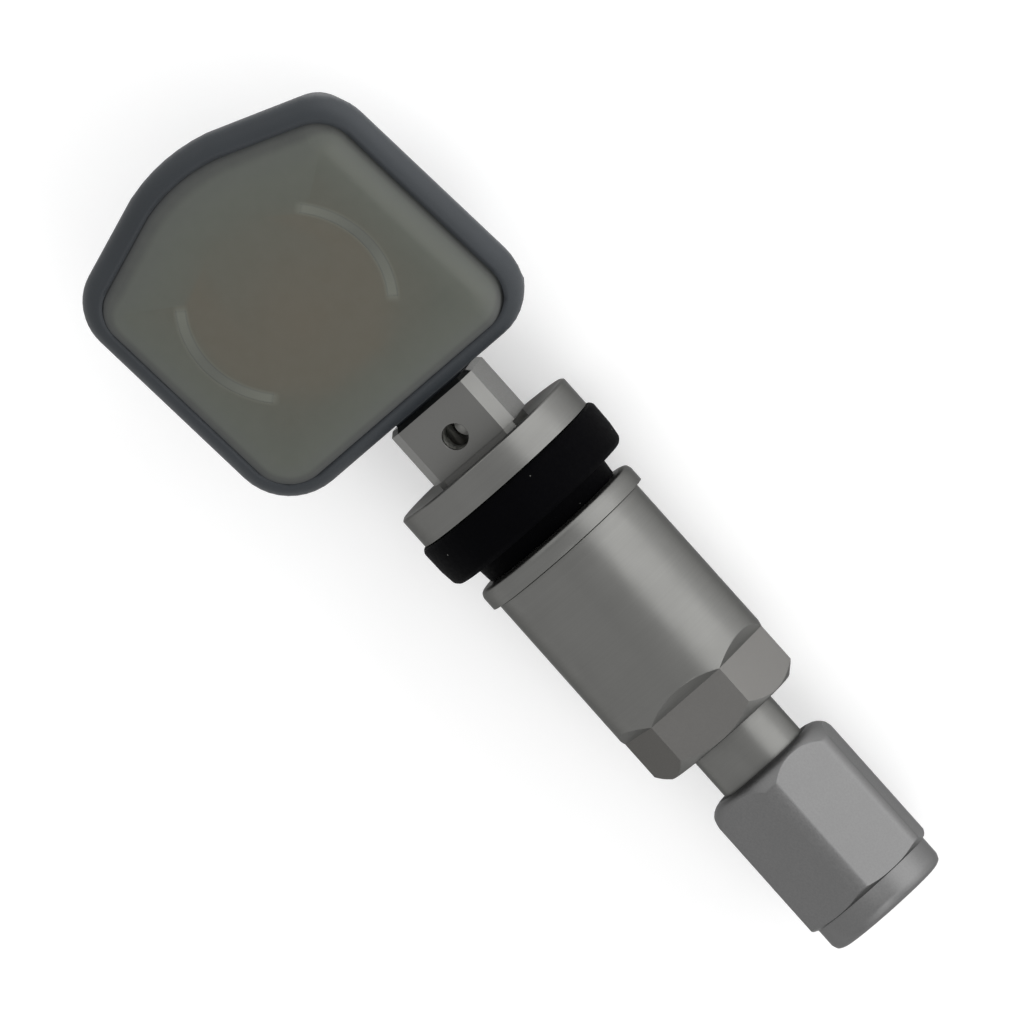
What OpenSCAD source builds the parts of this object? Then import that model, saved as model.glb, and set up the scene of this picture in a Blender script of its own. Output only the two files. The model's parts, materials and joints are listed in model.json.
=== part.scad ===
// Tyre pressure sensor with a clamp-in metal valve.
// Origin: on the valve axis, in the plane where the grommet's flange meets the wheel rim.
// +X runs along the valve towards its cap, +Z is the normal of the block's front face.

/* [Housing] */
// Length of the housing from the valve-side wall to the rounded far end
housing_len = 27.6; // [27:0.1:29]
// Width of the housing
housing_w = 27.2; // [26.6:0.2:29]
// Depth of the housing below its potted face
housing_depth = 10.9; // [10.8:0.1:12]
// Radius of the rounded corners in plan
corner_round = 4.7; // [4:0.1:5]
// Radius of the rim's outer edge
rim_round = 1.5; // [1.2:0.1:1.6]
// Slope of the two far edges from the crosswise direction, in degrees
roof_slope = 20.5; // [16:0.5:22]
// Radius that joins the two far edges
apex_round = 14.5; // [10:0.5:15]
// Wall thickness of the housing tray
tray_wall = 1.35; // [1.2:0.05:1.4]
// Tilt of the housing against the valve axis, in degrees
housing_tilt = 15.1; // [14.9:0.1:15.5]

/* [Stem] */
// Length of the square block that the housing is screwed to
block_len = 5.45; // [5.3:0.05:6]
// Width of the block
block_w = 8.2; // [8:0.1:8.6]
// Thickness of the block
block_t = 5.9; // [5.8:0.1:6.2]
// Radius of the stem's flange disc
flange_r = 8.05; // [7.8:0.05:8.2]
// Thickness of the flange disc
flange_t = 2.7; // [2.5:0.1:3]
// Radius of the threaded shank under the nut
shank_r = 4.1; // [4.05:0.05:4.3]
// Radius of the neck between nut and cap
neck_r = 3.77; // [3.72:0.01:3.8]

/* [Grommet] */
// Radius of the rubber flange
grommet_r = 8.45; // [8.3:0.05:8.8]
// Thickness of the rubber flange
grommet_t = 3.77; // [3.5:0.05:4]
// Radius of the rubber spigot that fills the rim's hole
spigot_r = 6.25; // [6.1:0.05:6.4]
// Length of the spigot beyond the flange
spigot_len = 1.4; // [1.2:0.05:1.6]

/* [Nut] */
// Radius of the thrust washer
washer_r = 7.35; // [7.2:0.05:7.6]
// Thickness of the thrust washer
washer_t = 1.65; // [1.5:0.05:1.8]
// Radius of the nut's round body
nut_r = 6.83; // [6.8:0.01:6.9]
// Width across the nut's flats
nut_flats = 12; // [11.8:0.05:12]
// Length of the nut
nut_len = 18.28; // [18:0.1:18.6]
// Length of the hexagon at the nut's outer end
hex_len = 4.22; // [4:0.1:4.6]
// Rise of the nut per turn
nut_pitch = 0.75; // [0.7:0.05:0.75]

/* [Cap] */
// Width across the cap's flats
cap_flats = 10.8; // [10.6:0.1:11]
// Length of the cap
cap_len = 14.3; // [14:0.1:14.8]
// Radius of the round collar at the cap's end
collar_r = 5.22; // [5:0.02:5.3]
// Gap between the nut and the cap
cap_gap = 3.65; // [3.5:0.05:3.9]
// Travel of the core's pin
pin_travel = 1.2; // [0.8:0.1:1.4]

/* [Hidden] */

// Number of segments of a full circle
facets = 96;
// Clearance between pieces that touch but turn or slide on each other
seat_gap = 0.05;
// Radial running clearance of threads and guides
run_gap = 0.05;
// Overshoot of cutting bodies
cut = 1;

// Stations along the valve axis
flange_x = -grommet_t - flange_t;
block_x = flange_x - block_len;
washer_x = spigot_len + seat_gap;
nut_x = washer_x + washer_t + seat_gap;
nut_end = nut_x + nut_len;
hex_x = nut_end - hex_len;
nut_travel = 4 * nut_pitch;
cap_x = nut_end + cap_gap;
cap_end = cap_x + cap_len;
cap_floor = cap_end - 1.8;
cap_seal_t = 0.8;
mouth_x = cap_floor - cap_seal_t - seat_gap;
mouth_r = neck_r + 0.08;
thread_end = nut_x + 10.9;
cap_corner = cap_flats / 2 / cos(30);

// Turn of the hexagons about the valve axis, in degrees
nut_turn = -7.5;
cap_turn = -10.2;

// Block
block_chamfer = 0.9;
flange_dish = 0.6;
cross_hole_r = 1.02;
cross_hole_x = block_x + 3.27;
tap_r = 1.5;
tap_end = block_x + 4.4;
air_r = 1.1;

// Retaining screw
screw_r = tap_r - 0.02;
screw_head_r = 2.2;
screw_head_t = 1.8;
screw_tip = cross_hole_x - cross_hole_r - 0.1;
lug_t = 2.3;
lug_w = block_w - 1.6;
lug_hole_r = tap_r + 0.1;
screw_seat_x = block_x - lug_t;
channel_r = screw_head_r + 0.2;

// Housing: its own frame has its origin on the potted face, x towards the valve and z out of the face
front_x = housing_len / 2 - 0.5;
half_w = housing_w / 2;
axis_depth = 6.15;
stand_off = 1.556;
apex_c = front_x - housing_len + apex_round;
corner_steps = 10;
rim_drop = 0.15;
widest_z = -2.45;
lower_depth = housing_depth + widest_z;
floor_z = -housing_depth + 1.3;
ledge_inset = 1.9;
tunnel_r = channel_r + 0.9;

// Cell stack under the face, from the face downwards
// Coin cells come in whole millimetres of diameter
cell_r = floor(0.61 * housing_w) / 2;
arc_r = cell_r - 0.05;
arc_w = 0.8;
arc_span = 39;
arc_y = -0.8;
potting_t = 1.2;
cell_t = 2;
cell_top = -potting_t - 0.75;
cell_bottom = cell_top - cell_t;
tab_t = 0.2;
board_top = cell_bottom - tab_t;
board_t = 0.8;
board_bottom = board_top - board_t;
holder_wall = 0.8;
holder_in = cell_r + 0.1;

// Parts under the board
chip_pos = [-2.5, half_w - 7.5];
chip_size = [5, 4, 1.7];
port_r = 0.8;
chimney_r = 1.7;
port_seal_t = 1.1;
chip_bottom = board_bottom - chip_size[2];
chimney_top = chip_bottom - port_seal_t;
coil_pos = [0.5, 7.5 - half_w];
coil_len = 9;
coil_end_t = 1.2;
coil_waist_r = 0.7;
coil_end_w = 2.6;
post_r = 1;
post_spots = [for (i = [-6.5, 8], j = [-1, 1]) [i, j * (half_w - 6.4)]];
cap_spots = [[-7.2, 2.4], [-6.4, -2.4], [3.2, 5.1 - half_w]];
crystal_size = [3.2, 2.5, 0.9];
antenna_x = front_x - housing_len + draw_in(board_bottom) + tray_wall + 2.5;
antenna_w = 0.37 * housing_w;
antenna_t = 0.5;
antenna_h = 1.6;

// Valve core
core_r = 2.55;
head_len = 4.7;
head_bore = 1.4;
barrel_len = 9.2;
spring_len = 5.4;
core_head_end = mouth_x - 0.7;
core_head_x = core_head_end - head_len;
barrel_r = 1.6;
barrel_bore = 1.1;
barrel_x = core_head_x - barrel_len;
chamber_r = 1.95;
seal_x = core_head_x - 1.9;
pin_r = 0.45;
pin_end = mouth_x - 0.15;
cup_t = 1.1;
cup_r = 1.45;
cup_gasket_t = 0.5;
cup_x = barrel_x - cup_gasket_t - cup_t;
chamber_x = cup_x - pin_travel - 1.3;
spring_x = barrel_x + 1;
spring_end = spring_x + spring_len;
spring_wire = 0.12;
spring_r = 0.78;
spring_turns = 7;

// Colours
metal = [0.42, 0.41, 0.40];
dark_plastic = [0.2, 0.21, 0.22];
face_grey = [0.34, 0.345, 0.32];
rubber_black = [0.05, 0.05, 0.05];
brass_tone = [0.72, 0.6, 0.36];

// Solid of revolution about the valve axis, from [radius, station] points
module turned(points) {
    rotate([0, 90, 0])
        rotate_extrude($fn = facets)
            polygon(points);
}

// Round bar along the valve axis
module bar(from, to, r, f = facets) {
    translate([from, 0, 0])
        rotate([0, 90, 0])
            cylinder(r = r, h = to - from, $fn = f);
}

// Six-sided prism along the valve axis, with a given width across flats
module hex_bar(from, to, flats, turn) {
    rotate([turn, 0, 0])
        translate([from, 0, 0])
            rotate([0, 90, 0])
                cylinder(r = flats / 2 / cos(30), h = to - from, $fn = 6);
}

// Places children in the housing's own tilted frame
module in_housing() {
    translate([block_x - stand_off, 0, 0])
        rotate([0, housing_tilt, 0])
            translate([-front_x, 0, axis_depth])
                children();
}

// Points of one rounded corner, between two directions
function corner(x, y, r, from, to) = [
    for (k = [0:corner_steps]) let (a = from + (to - from) * k / corner_steps) [x + r * cos(a), y + r * sin(a)]
];

// Rounded plan outline, moved in by inset all round and by front_inset at the valve side
function plan(inset, front_inset) = let (
    r = max(corner_round - inset, 0.8),
    y = half_w - inset - r,
    x = front_x - front_inset - r,
    far_x = (apex_c * cos(roof_slope) - apex_round + inset + r + y * sin(roof_slope)) / cos(roof_slope),
    far_a = 180 - roof_slope,
    apex_r = apex_round - inset
) concat(
    corner(x, -y, r, -90, 0),
    corner(x, y, r, 0, 90),
    corner(far_x, y, r, 90, far_a),
    [for (k = [1:7]) let (a = far_a + 2 * roof_slope * k / 8) [apex_c + apex_r * cos(a), apex_r * sin(a)]],
    corner(far_x, -y, r, 360 - far_a, 270)
);

// Closed body through plan outlines: each level is [height, inset, inset at the valve side], from the top down
module loft(levels) {
    rings = [for (l = levels) [for (p = plan(l[1], l[2])) [p[0], p[1], l[0]]]];
    n = len(rings[0]);
    m = len(rings);
    polyhedron(
        points = [for (r = rings) each r],
        faces = concat(
            [[for (i = [n - 1:-1:0]) i]],
            [for (j = [0:m - 2], i = [0:n - 1], half = [0, 1]) let (a = j * n + i, b = j * n + (i + 1) % n)
                half == 0 ? [a, b, b + n] : [a, b + n, a + n]],
            [[for (i = [0:n - 1]) (m - 1) * n + i]]
        )
    );
}

// How far the outer wall has drawn in at a height below the widest line
function draw_in(z) = let (u = (widest_z - z) / lower_depth) 0.43 * lower_depth * u + 2 * pow(u, 5);
function front_draw(z) = let (u = (widest_z - z) / lower_depth) 0.05 * lower_depth * u + 1.6 * pow(u, 5);

// Level of the tray's outer wall at a share of its depth below the widest line, set in by a wall thickness
function wall_level(u, wall) = let (z = widest_z - u * lower_depth) [z, draw_in(z) + wall, front_draw(z) + wall];

// Outer form of the tray: rounded rim, upright band, and walls that draw in towards the back
module tray_form() {
    loft(concat(
        [for (a = [0:15:90]) let (inset = rim_round * (1 - sin(a)))
            [-rim_drop - rim_round * (1 - cos(a)), inset, inset]],
        [[widest_z, 0, 0]],
        [for (u = [0.25, 0.5, 0.7, 0.82, 0.91, 0.97, 1]) wall_level(u, 0)]
    ));
}

// Hollow below the potting
module tray_hollow() {
    floor_u = (widest_z - floor_z) / lower_depth;
    loft(concat(
        [[-potting_t, ledge_inset, ledge_inset], [widest_z, ledge_inset, ledge_inset]],
        [for (u = [0.25, 0.5, 0.7, floor_u]) wall_level(u, tray_wall)]
    ));
}

// Rounded rectangle from exact shapes
module round_plate(w, h, r) {
    square([w - 2 * r, h], center = true);
    square([w, h - 2 * r], center = true);
    for (i = [-1, 1], j = [-1, 1])
        translate([i * (w / 2 - r), j * (h / 2 - r)])
            circle(r = r, $fn = 32);
}

// Groove for the screw's head and the driver: round above the axis, open to the back below it
module channel(r, from) {
    bar(-45, from, r);
    translate([-45, -r, -12])
        cube([45 + from, 2 * r, 12]);
}

// Moulded tray with its lug, screw seat, driver groove, board posts and pressure port
module housing_tray() {
    color(dark_plastic)
        difference() {
            union() {
                difference() {
                    in_housing()
                        tray_form();
                    in_housing()
                        potting_pocket();
                    difference() {
                        in_housing()
                            tray_hollow();
                        channel(tunnel_r, screw_seat_x + lug_t);
                    }
                }
                translate([block_x - lug_t - 1.4, 0, -0.2])
                    rotate([0, 90, 0])
                        linear_extrude(lug_t + 1.4)
                            round_plate(5.2, lug_w, 0.8);
                in_housing()
                    board_supports();
            }
            bar(screw_seat_x - 0.01, block_x + cut, lug_hole_r);
            channel(channel_r, screw_seat_x);
            in_housing()
                translate([chip_pos[0], chip_pos[1], -housing_depth - cut])
                    cylinder(r = port_r, h = housing_depth, $fn = 48);
        }
}

// Pocket that the potting fills
module potting_pocket() {
    translate([0, 0, -potting_t])
        linear_extrude(potting_t + cut)
            polygon(plan(rim_round, rim_round));
}

// Posts that carry the board, and the chimney of the pressure port
module board_supports() {
    for (p = post_spots)
        translate([p[0], p[1], floor_z - 0.3])
            cylinder(r = post_r, h = board_bottom - floor_z + 0.3, $fn = 32);
    translate([chip_pos[0], chip_pos[1], floor_z - 0.3])
        cylinder(r = chimney_r, h = chimney_top - floor_z + 0.3, $fn = 48);
}

// Potting with a soft, slightly crowned edge, open where the holder's arcs reach the face
module potting() {
    color(face_grey)
        in_housing()
            difference() {
                loft([
                    for (l = [[0, 2.1], [0.04, 1.2], [0.11, 0.6], [0.21, 0.25], [0.36, 0.02], [potting_t, 0.02]])
                        [-l[0], rim_round + l[1], rim_round + l[1]]
                ]);
                holder_arcs(0.02, -potting_t - cut, potting_t + 2 * cut, arc_r - arc_w / 2, arc_r + arc_w / 2);
            }
}

// The two arcs on either side of the cell, as walls between two radii
module holder_arcs(grow, z, h, r_in, r_out) {
    for (side = [0, 180])
        translate([-0.1, arc_y, z])
            rotate([0, 0, side + 90 - arc_span])
                rotate_extrude(angle = 2 * arc_span, $fn = facets)
                    translate([r_in - grow, 0])
                        square([r_out - r_in + 2 * grow, h]);
}

// Open sector on either side of the holder's ribs
module side_sector(h) {
    a = 90 - arc_span;
    for (side = [0, 180])
        rotate([0, 0, side])
            linear_extrude(h)
                polygon([[0, 0], [12 * cos(a), -12 * sin(a)], [16, 0], [12 * cos(a), 12 * sin(a)]]);
}

// Holder ring round the cell, with two arc ribs that reach up to the face
module cell_holder() {
    rib_in = arc_r - arc_w / 2;
    lip_z = -potting_t - 0.7;
    ring_z = cell_bottom + 0.35;
    outer = holder_in + holder_wall;
    color(face_grey)
        in_housing()
            translate([-0.1, arc_y, 0])
                difference() {
                    rotate_extrude($fn = facets)
                        polygon([
                            [rib_in, -0.01], [rib_in + arc_w, -0.01], [rib_in + arc_w, -potting_t],
                            [outer, -potting_t], [outer, board_top], [holder_in, board_top],
                            [holder_in, lip_z], [rib_in, lip_z]
                        ]);
                    translate([0, 0, ring_z + 0.7])
                        side_sector(-ring_z + cut);
                    translate([0, 0, ring_z - 3])
                        side_sector(3);
                }
}

// Coin cell with its stepped edge
module coin_cell() {
    color([0.72, 0.72, 0.7])
        in_housing()
            translate([-0.1, arc_y, cell_bottom])
                rotate_extrude($fn = facets)
                    polygon([
                        [0, 0], [6.7, 0], [6.9, 0.2], [7.3, 0.25], [7.8, 0.3], [cell_r, 0.55],
                        [cell_r, cell_t - 0.25], [cell_r - 0.25, cell_t], [0, cell_t]
                    ]);
}

// Contact tab welded to the cell's upper face and folded down to the board
module cell_tab_top() {
    tab_x = -0.1 - holder_in - holder_wall - 0.15;
    color([0.75, 0.74, 0.7])
        in_housing() {
            translate([tab_x - tab_t, arc_y - 2, cell_top])
                cube([-tab_x + 2.5 + tab_t, 4, tab_t]);
            translate([tab_x - tab_t, arc_y - 1.2, board_top])
                cube([tab_t, 2.4, cell_top - board_top + 0.01]);
        }
}

// Contact tab between the cell's lower face and the board
module cell_tab_bottom() {
    color([0.75, 0.74, 0.7])
        in_housing()
            translate([-3.4, arc_y - 2.5, board_top])
                cube([6.4, 5, tab_t]);
}

// Circuit board, notched round the screw's groove
module circuit_board() {
    color([0.1, 0.3, 0.16])
        in_housing()
            difference() {
                translate([0, 0, board_bottom])
                    linear_extrude(board_t)
                        polygon(plan(
                            draw_in(board_bottom) + tray_wall + 0.2,
                            front_draw(board_bottom) + tray_wall + 0.4
                        ));
                translate([4.1, -tunnel_r - 0.5, board_bottom - cut])
                    cube([12, 2 * tunnel_r + 1, board_t + 2 * cut]);
            }
}

// Sensor package under the board, with its pressure window over the port
module sensor_chip() {
    color([0.12, 0.12, 0.13])
        in_housing()
            translate([chip_pos[0], chip_pos[1], chip_bottom])
                difference() {
                    translate([-chip_size[0] / 2, -chip_size[1] / 2, 0])
                        cube(chip_size);
                    translate([0, 0, -cut])
                        cylinder(r = 0.7, h = cut + 0.6, $fn = 32);
                }
}

// Soft ring between the port's chimney and the sensor package
module port_seal() {
    color([0.45, 0.2, 0.15])
        in_housing()
            translate([chip_pos[0], chip_pos[1], chimney_top])
                difference() {
                    cylinder(r = chimney_r, h = port_seal_t, $fn = 48);
                    translate([0, 0, -cut])
                        cylinder(r = port_r, h = port_seal_t + 2 * cut, $fn = 48);
                }
}

// Crystal can under the board
module crystal() {
    color([0.7, 0.7, 0.68])
        in_housing()
            translate([2.2, half_w - 8.7, board_bottom - crystal_size[2]])
                cube(crystal_size);
}

// Chip capacitors under the board
module capacitors() {
    color([0.6, 0.5, 0.38])
        in_housing()
            for (p = cap_spots)
                translate([p[0], p[1], board_bottom - 0.6])
                    cube([1.6, 0.8, 0.6]);
}

// Ferrite core of the wake-up coil: a waisted bar
module lf_coil_core() {
    color([0.15, 0.14, 0.14])
        in_housing()
            translate([coil_pos[0], coil_pos[1], board_bottom - coil_end_w / 2])
                rotate([0, 90, 0]) {
                    translate([0, 0, -coil_len / 2 + 0.6])
                        cylinder(r = coil_waist_r, h = coil_len - 1.2, $fn = 32);
                    for (x = [-coil_len / 2, coil_len / 2 - coil_end_t])
                        translate([-coil_end_w / 2, -coil_end_w / 2, x])
                            cube([coil_end_w, coil_end_w, coil_end_t]);
                }
}

// Winding round the coil's waist
module lf_coil_winding() {
    color([0.55, 0.28, 0.12])
        in_housing()
            translate([coil_pos[0] - coil_len / 2 + coil_end_t, coil_pos[1], board_bottom - coil_end_w / 2])
                rotate([0, 90, 0])
                    difference() {
                        cylinder(r = coil_waist_r + 0.4, h = coil_len - 2 * coil_end_t, $fn = 32);
                        translate([0, 0, -cut])
                            cylinder(r = coil_waist_r, h = coil_len, $fn = 32);
                    }
}

// Bent strip antenna standing under the board at the far side
module antenna() {
    color([0.75, 0.7, 0.55])
        in_housing()
            translate([antenna_x, -antenna_w / 2, board_bottom - antenna_h]) {
                cube([antenna_t, antenna_w, antenna_t]);
                for (y = [0, antenna_w - 0.8])
                    translate([0, y, 0])
                        cube([antenna_t, 0.8, antenna_h]);
            }
}

// Machine screw with a six-lobed socket, through the lug into the block
module retaining_screw() {
    color(metal)
        difference() {
            turned([
                [0, screw_seat_x - screw_head_t],
                [screw_head_r - 0.35, screw_seat_x - screw_head_t],
                [screw_head_r, screw_seat_x - screw_head_t + 0.35],
                [screw_head_r, screw_seat_x],
                [screw_r, screw_seat_x],
                [screw_r, screw_tip - 0.4],
                [screw_r - 0.4, screw_tip],
                [0, screw_tip]
            ]);
            translate([screw_seat_x - screw_head_t - cut, 0, 0])
                rotate([0, 90, 0])
                    linear_extrude(cut + 1.1)
                        lobed_socket(1.15);
        }
}

// Outline of a six-lobed driver socket
module lobed_socket(r) {
    circle(r = 0.72 * r, $fn = 32);
    for (k = [0:5])
        rotate(60 * k)
            translate([0.72 * r, 0])
                circle(r = 0.28 * r, $fn = 24);
}

// Milled block: three crossing profiles give the long and the end chamfers
module block() {
    long = flange_x - block_x + flange_dish + 0.3;
    end_chamfer = 0.35;
    intersection() {
        translate([block_x, 0, 0])
            rotate([0, 90, 0])
                linear_extrude(long)
                    chamfered_plate(block_t, block_w, block_chamfer);
        translate([block_x, 0, 0])
            linear_extrude(2 * block_t, center = true)
                end_chamfered(long, block_w, end_chamfer);
        translate([block_x, 0, 0])
            rotate([90, 0, 0])
                linear_extrude(2 * block_w, center = true)
                    end_chamfered(long, block_t, end_chamfer);
    }
}

// Rectangle with four 45 degree corners
module chamfered_plate(w, h, c) {
    polygon([
        [-w / 2 + c, -h / 2], [w / 2 - c, -h / 2], [w / 2, -h / 2 + c], [w / 2, h / 2 - c],
        [w / 2 - c, h / 2], [-w / 2 + c, h / 2], [-w / 2, h / 2 - c], [-w / 2, -h / 2 + c]
    ]);
}

// Side profile of the block: chamfered at the housing end, relieved at the flange
module end_chamfered(l, h, c) {
    relief = 0.3;
    groove = flange_dish + 0.55;
    polygon([
        [0, -h / 2 + c], [c, -h / 2], [l - groove, -h / 2], [l - groove, -h / 2 + relief], [l, -h / 2 + relief],
        [l, h / 2 - relief], [l - groove, h / 2 - relief], [l - groove, h / 2], [c, h / 2], [0, h / 2 - c]
    ]);
}

// Turned stem: block, flange disc, threaded shank, neck and mouth, with the air way through it
module valve_stem() {
    color(metal)
        difference() {
            union() {
                block();
                turned([
                    [0, flange_x + flange_dish],
                    [block_w / 2, flange_x + flange_dish],
                    [flange_r - 0.25, flange_x],
                    [flange_r, flange_x + 0.25],
                    [flange_r, -grommet_t - 0.15],
                    [flange_r - 0.15, -grommet_t],
                    [shank_r, -grommet_t],
                    [shank_r, thread_end - 0.33],
                    [neck_r, thread_end],
                    [neck_r, cap_x + 0.6],
                    [mouth_r, cap_x + 0.9],
                    [mouth_r, mouth_x - 0.6],
                    [mouth_r - 0.6, mouth_x],
                    [0, mouth_x]
                ]);
            }
            bar(block_x - cut, tap_end, tap_r);
            bar(tap_end - 0.01, chamber_x, air_r);
            bar(chamber_x - 0.01, seal_x, chamber_r);
            turned([[0, seal_x - 0.01], [chamber_r, seal_x - 0.01], [core_r, seal_x + 1.2], [0, seal_x + 1.2]]);
            bar(seal_x + 1.19, mouth_x + cut, core_r);
            translate([cross_hole_x, 0, -tap_r - 0.1])
                cylinder(r = cross_hole_r, h = 2 * block_t, $fn = 48);
        }
}

// Rubber seal: tapered flange and spigot
module grommet() {
    color(rubber_black)
        turned([
            [shank_r + 0.02, -grommet_t],
            [grommet_r - 0.25, -grommet_t],
            [grommet_r, -grommet_t + 0.25],
            [grommet_r - 0.25, -0.35],
            [grommet_r - 0.6, 0],
            [spigot_r, 0],
            [spigot_r - 0.15, spigot_len],
            [shank_r + 0.02, spigot_len]
        ]);
}

// Plain thrust washer that stays with the nut
module thrust_washer() {
    color(metal)
        turned([
            [shank_r + run_gap, washer_x],
            [washer_r - 0.5, washer_x],
            [washer_r - 0.15, washer_x + 0.15],
            [washer_r, washer_x + 0.5],
            [washer_r, washer_x + washer_t],
            [shank_r + run_gap, washer_x + washer_t]
        ]);
}

// Long collar nut: round body, hexagon with sloped run-outs, threaded bore and relieved skirt
module collar_nut() {
    af = nut_flats / 2;
    color(metal)
        difference() {
            turned([
                [shank_r + 1.1, nut_x],
                [nut_r - 0.15, nut_x],
                [nut_r, nut_x + 0.15],
                [nut_r, nut_end - 1.42],
                [nut_r - 1.23, nut_end],
                [neck_r + 0.1, nut_end],
                [neck_r + 0.1, thread_end + 0.35],
                [shank_r + run_gap, thread_end + 0.35],
                [shank_r + run_gap, nut_x + 3.6],
                [shank_r + 1.1, nut_x + 3.2]
            ]);
            for (k = [0:5])
                rotate([nut_turn + 60 * k, 0, 0])
                    rotate([90, 0, 0])
                        linear_extrude(2 * nut_r, center = true)
                            polygon([
                                [hex_x, af], [hex_x - 1.2, af + 1.2], [nut_end + cut, af + 1.2], [nut_end + cut, af]
                            ]);
        }
}

// Dust cap: hexagon with a domed mouth, round collar, threaded bore
module valve_cap() {
    color(metal)
        difference() {
            union() {
                intersection() {
                    hex_bar(cap_x, cap_end - 1, cap_flats, cap_turn);
                    turned([
                        [0, cap_x],
                        [cap_flats / 2 - 1.05, cap_x],
                        [cap_flats / 2 - 0.7, cap_x + 0.16],
                        [cap_flats / 2 - 0.4, cap_x + 0.36],
                        [cap_flats / 2 - 0.1, cap_x + 0.68],
                        [cap_flats / 2 + 0.14, cap_x + 1.02],
                        [cap_corner + 0.05, cap_x + 2.2],
                        [cap_corner + 0.05, cap_end - 3.05],
                        [collar_r, cap_end - 2.3],
                        [0, cap_end - 2.3]
                    ]);
                }
                turned([
                    [0, cap_end - 3.2],
                    [collar_r, cap_end - 3.2],
                    [collar_r, cap_end - 0.7],
                    [collar_r - 0.2, cap_end - 0.22],
                    [collar_r - 0.7, cap_end],
                    [0, cap_end]
                ]);
            }
            bar(cap_x - cut, cap_floor, mouth_r + run_gap);
            turned([
                [0, cap_x - 0.01],
                [mouth_r + 0.4, cap_x - 0.01],
                [mouth_r + run_gap, cap_x + 0.5],
                [0, cap_x + 0.5]
            ]);
        }
}

// Rubber disc in the cap
module cap_seal() {
    color(rubber_black)
        bar(cap_floor - cap_seal_t, cap_floor - 0.01, mouth_r);
}

// Threaded head of the valve core, with a bridge that guides the pin
module core_head() {
    color(brass_tone) {
        difference() {
            bar(core_head_x, core_head_end, core_r - run_gap);
            bar(core_head_x - cut, core_head_end + cut, head_bore);
            for (s = [-1, 1])
                translate([core_head_end - 1.9, s * (head_bore + 1) - 0.7, -core_r - cut])
                    cube([3, 1.4, 2 * core_r + 2 * cut]);
        }
        difference() {
            translate([core_head_end - 1.2, -head_bore - 0.1, -0.75])
                cube([0.9, 2 * head_bore + 0.2, 1.5]);
            bar(core_head_end - 2, core_head_end + 1, pin_r + run_gap);
        }
    }
}

// Barrel of the valve core
module core_barrel() {
    color(brass_tone)
        turned([
            [pin_r + 0.2, barrel_x],
            [barrel_r - 0.15, barrel_x],
            [barrel_r, barrel_x + 0.15],
            [barrel_r, core_head_x],
            [barrel_bore, core_head_x],
            [barrel_bore, spring_x],
            [pin_r + 0.2, spring_x]
        ]);
}

// Sealing ring on the barrel, in the stem's taper
module core_seal() {
    color([0.75, 0.15, 0.12])
        turned([
            [barrel_r + 0.01, seal_x - 0.3],
            [chamber_r - 0.02, seal_x - 0.3],
            [chamber_r - 0.02, seal_x],
            [chamber_r + 0.28, seal_x + 0.6],
            [chamber_r + 0.28, seal_x + 1],
            [barrel_r + 0.01, seal_x + 1]
        ]);
}

// Point on the spring's wire axis and the ring of wire round it
function spring_ring(i, n) = let (
    turn = 360 * spring_turns * i / n,
    x = spring_x + spring_wire + (spring_end - spring_x - 2 * spring_wire) * i / n
) [for (s = [0:5]) [
    x + spring_wire * sin(60 * s),
    (spring_r + spring_wire * cos(60 * s)) * cos(turn),
    (spring_r + spring_wire * cos(60 * s)) * sin(turn)
]];

// Coil spring that closes the core
module core_spring() {
    n = spring_turns * 12;
    color([0.7, 0.7, 0.7])
        polyhedron(
            points = [for (i = [0:n]) each spring_ring(i, n)],
            faces = concat(
                [[for (s = [0:5]) s]],
                [for (i = [0:n - 1], s = [0:5]) [
                    6 * i + s, 6 * i + 6 + s, 6 * i + 6 + (s + 1) % 6, 6 * i + (s + 1) % 6
                ]],
                [[for (s = [5:-1:0]) 6 * n + s]]
            )
        );
}

// Pin of the core, with its spring collar and its cup
module core_pin() {
    color(brass_tone)
        turned([
            [0, cup_x],
            [cup_r - 0.3, cup_x],
            [cup_r, cup_x + 0.3],
            [cup_r, cup_x + cup_t],
            [pin_r, cup_x + cup_t],
            [pin_r, spring_end + 0.01],
            [barrel_bore - run_gap, spring_end + 0.01],
            [barrel_bore - run_gap, spring_end + 0.7],
            [pin_r, spring_end + 0.7],
            [pin_r, pin_end - 0.15],
            [pin_r - 0.15, pin_end],
            [0, pin_end]
        ]);
}

// Sealing ring between the cup and the barrel's end
module cup_gasket() {
    color(rubber_black)
        turned([
            [pin_r + 0.01, cup_x + cup_t],
            [cup_r - 0.05, cup_x + cup_t],
            [cup_r - 0.05, barrel_x - 0.02],
            [pin_r + 0.01, barrel_x - 0.02]
        ]);
}

housing_tray();
potting();
cell_holder();
coin_cell();
cell_tab_top();
cell_tab_bottom();
circuit_board();
sensor_chip();
port_seal();
crystal();
capacitors();
lf_coil_core();
lf_coil_winding();
antenna();
retaining_screw();
valve_stem();
grommet();
thrust_washer();
collar_nut();
valve_cap();
cap_seal();
core_head();
core_barrel();
core_seal();
core_spring();
core_pin();
cup_gasket();
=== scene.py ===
"""Looks of a tyre pressure sensor with a clamp-in metal valve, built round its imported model.

Every size is in millimetres in the part's own frame: +X runs along the valve towards its cap and +Z is the
normal of the stem block's front face. A finished mesh is scaled to metres once, in finished().
"""

import json
import logging
import math
from dataclasses import dataclass, field
from enum import Enum
from typing import Iterable, Sequence

import bmesh
import bpy
from mathutils import Matrix, Vector


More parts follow.
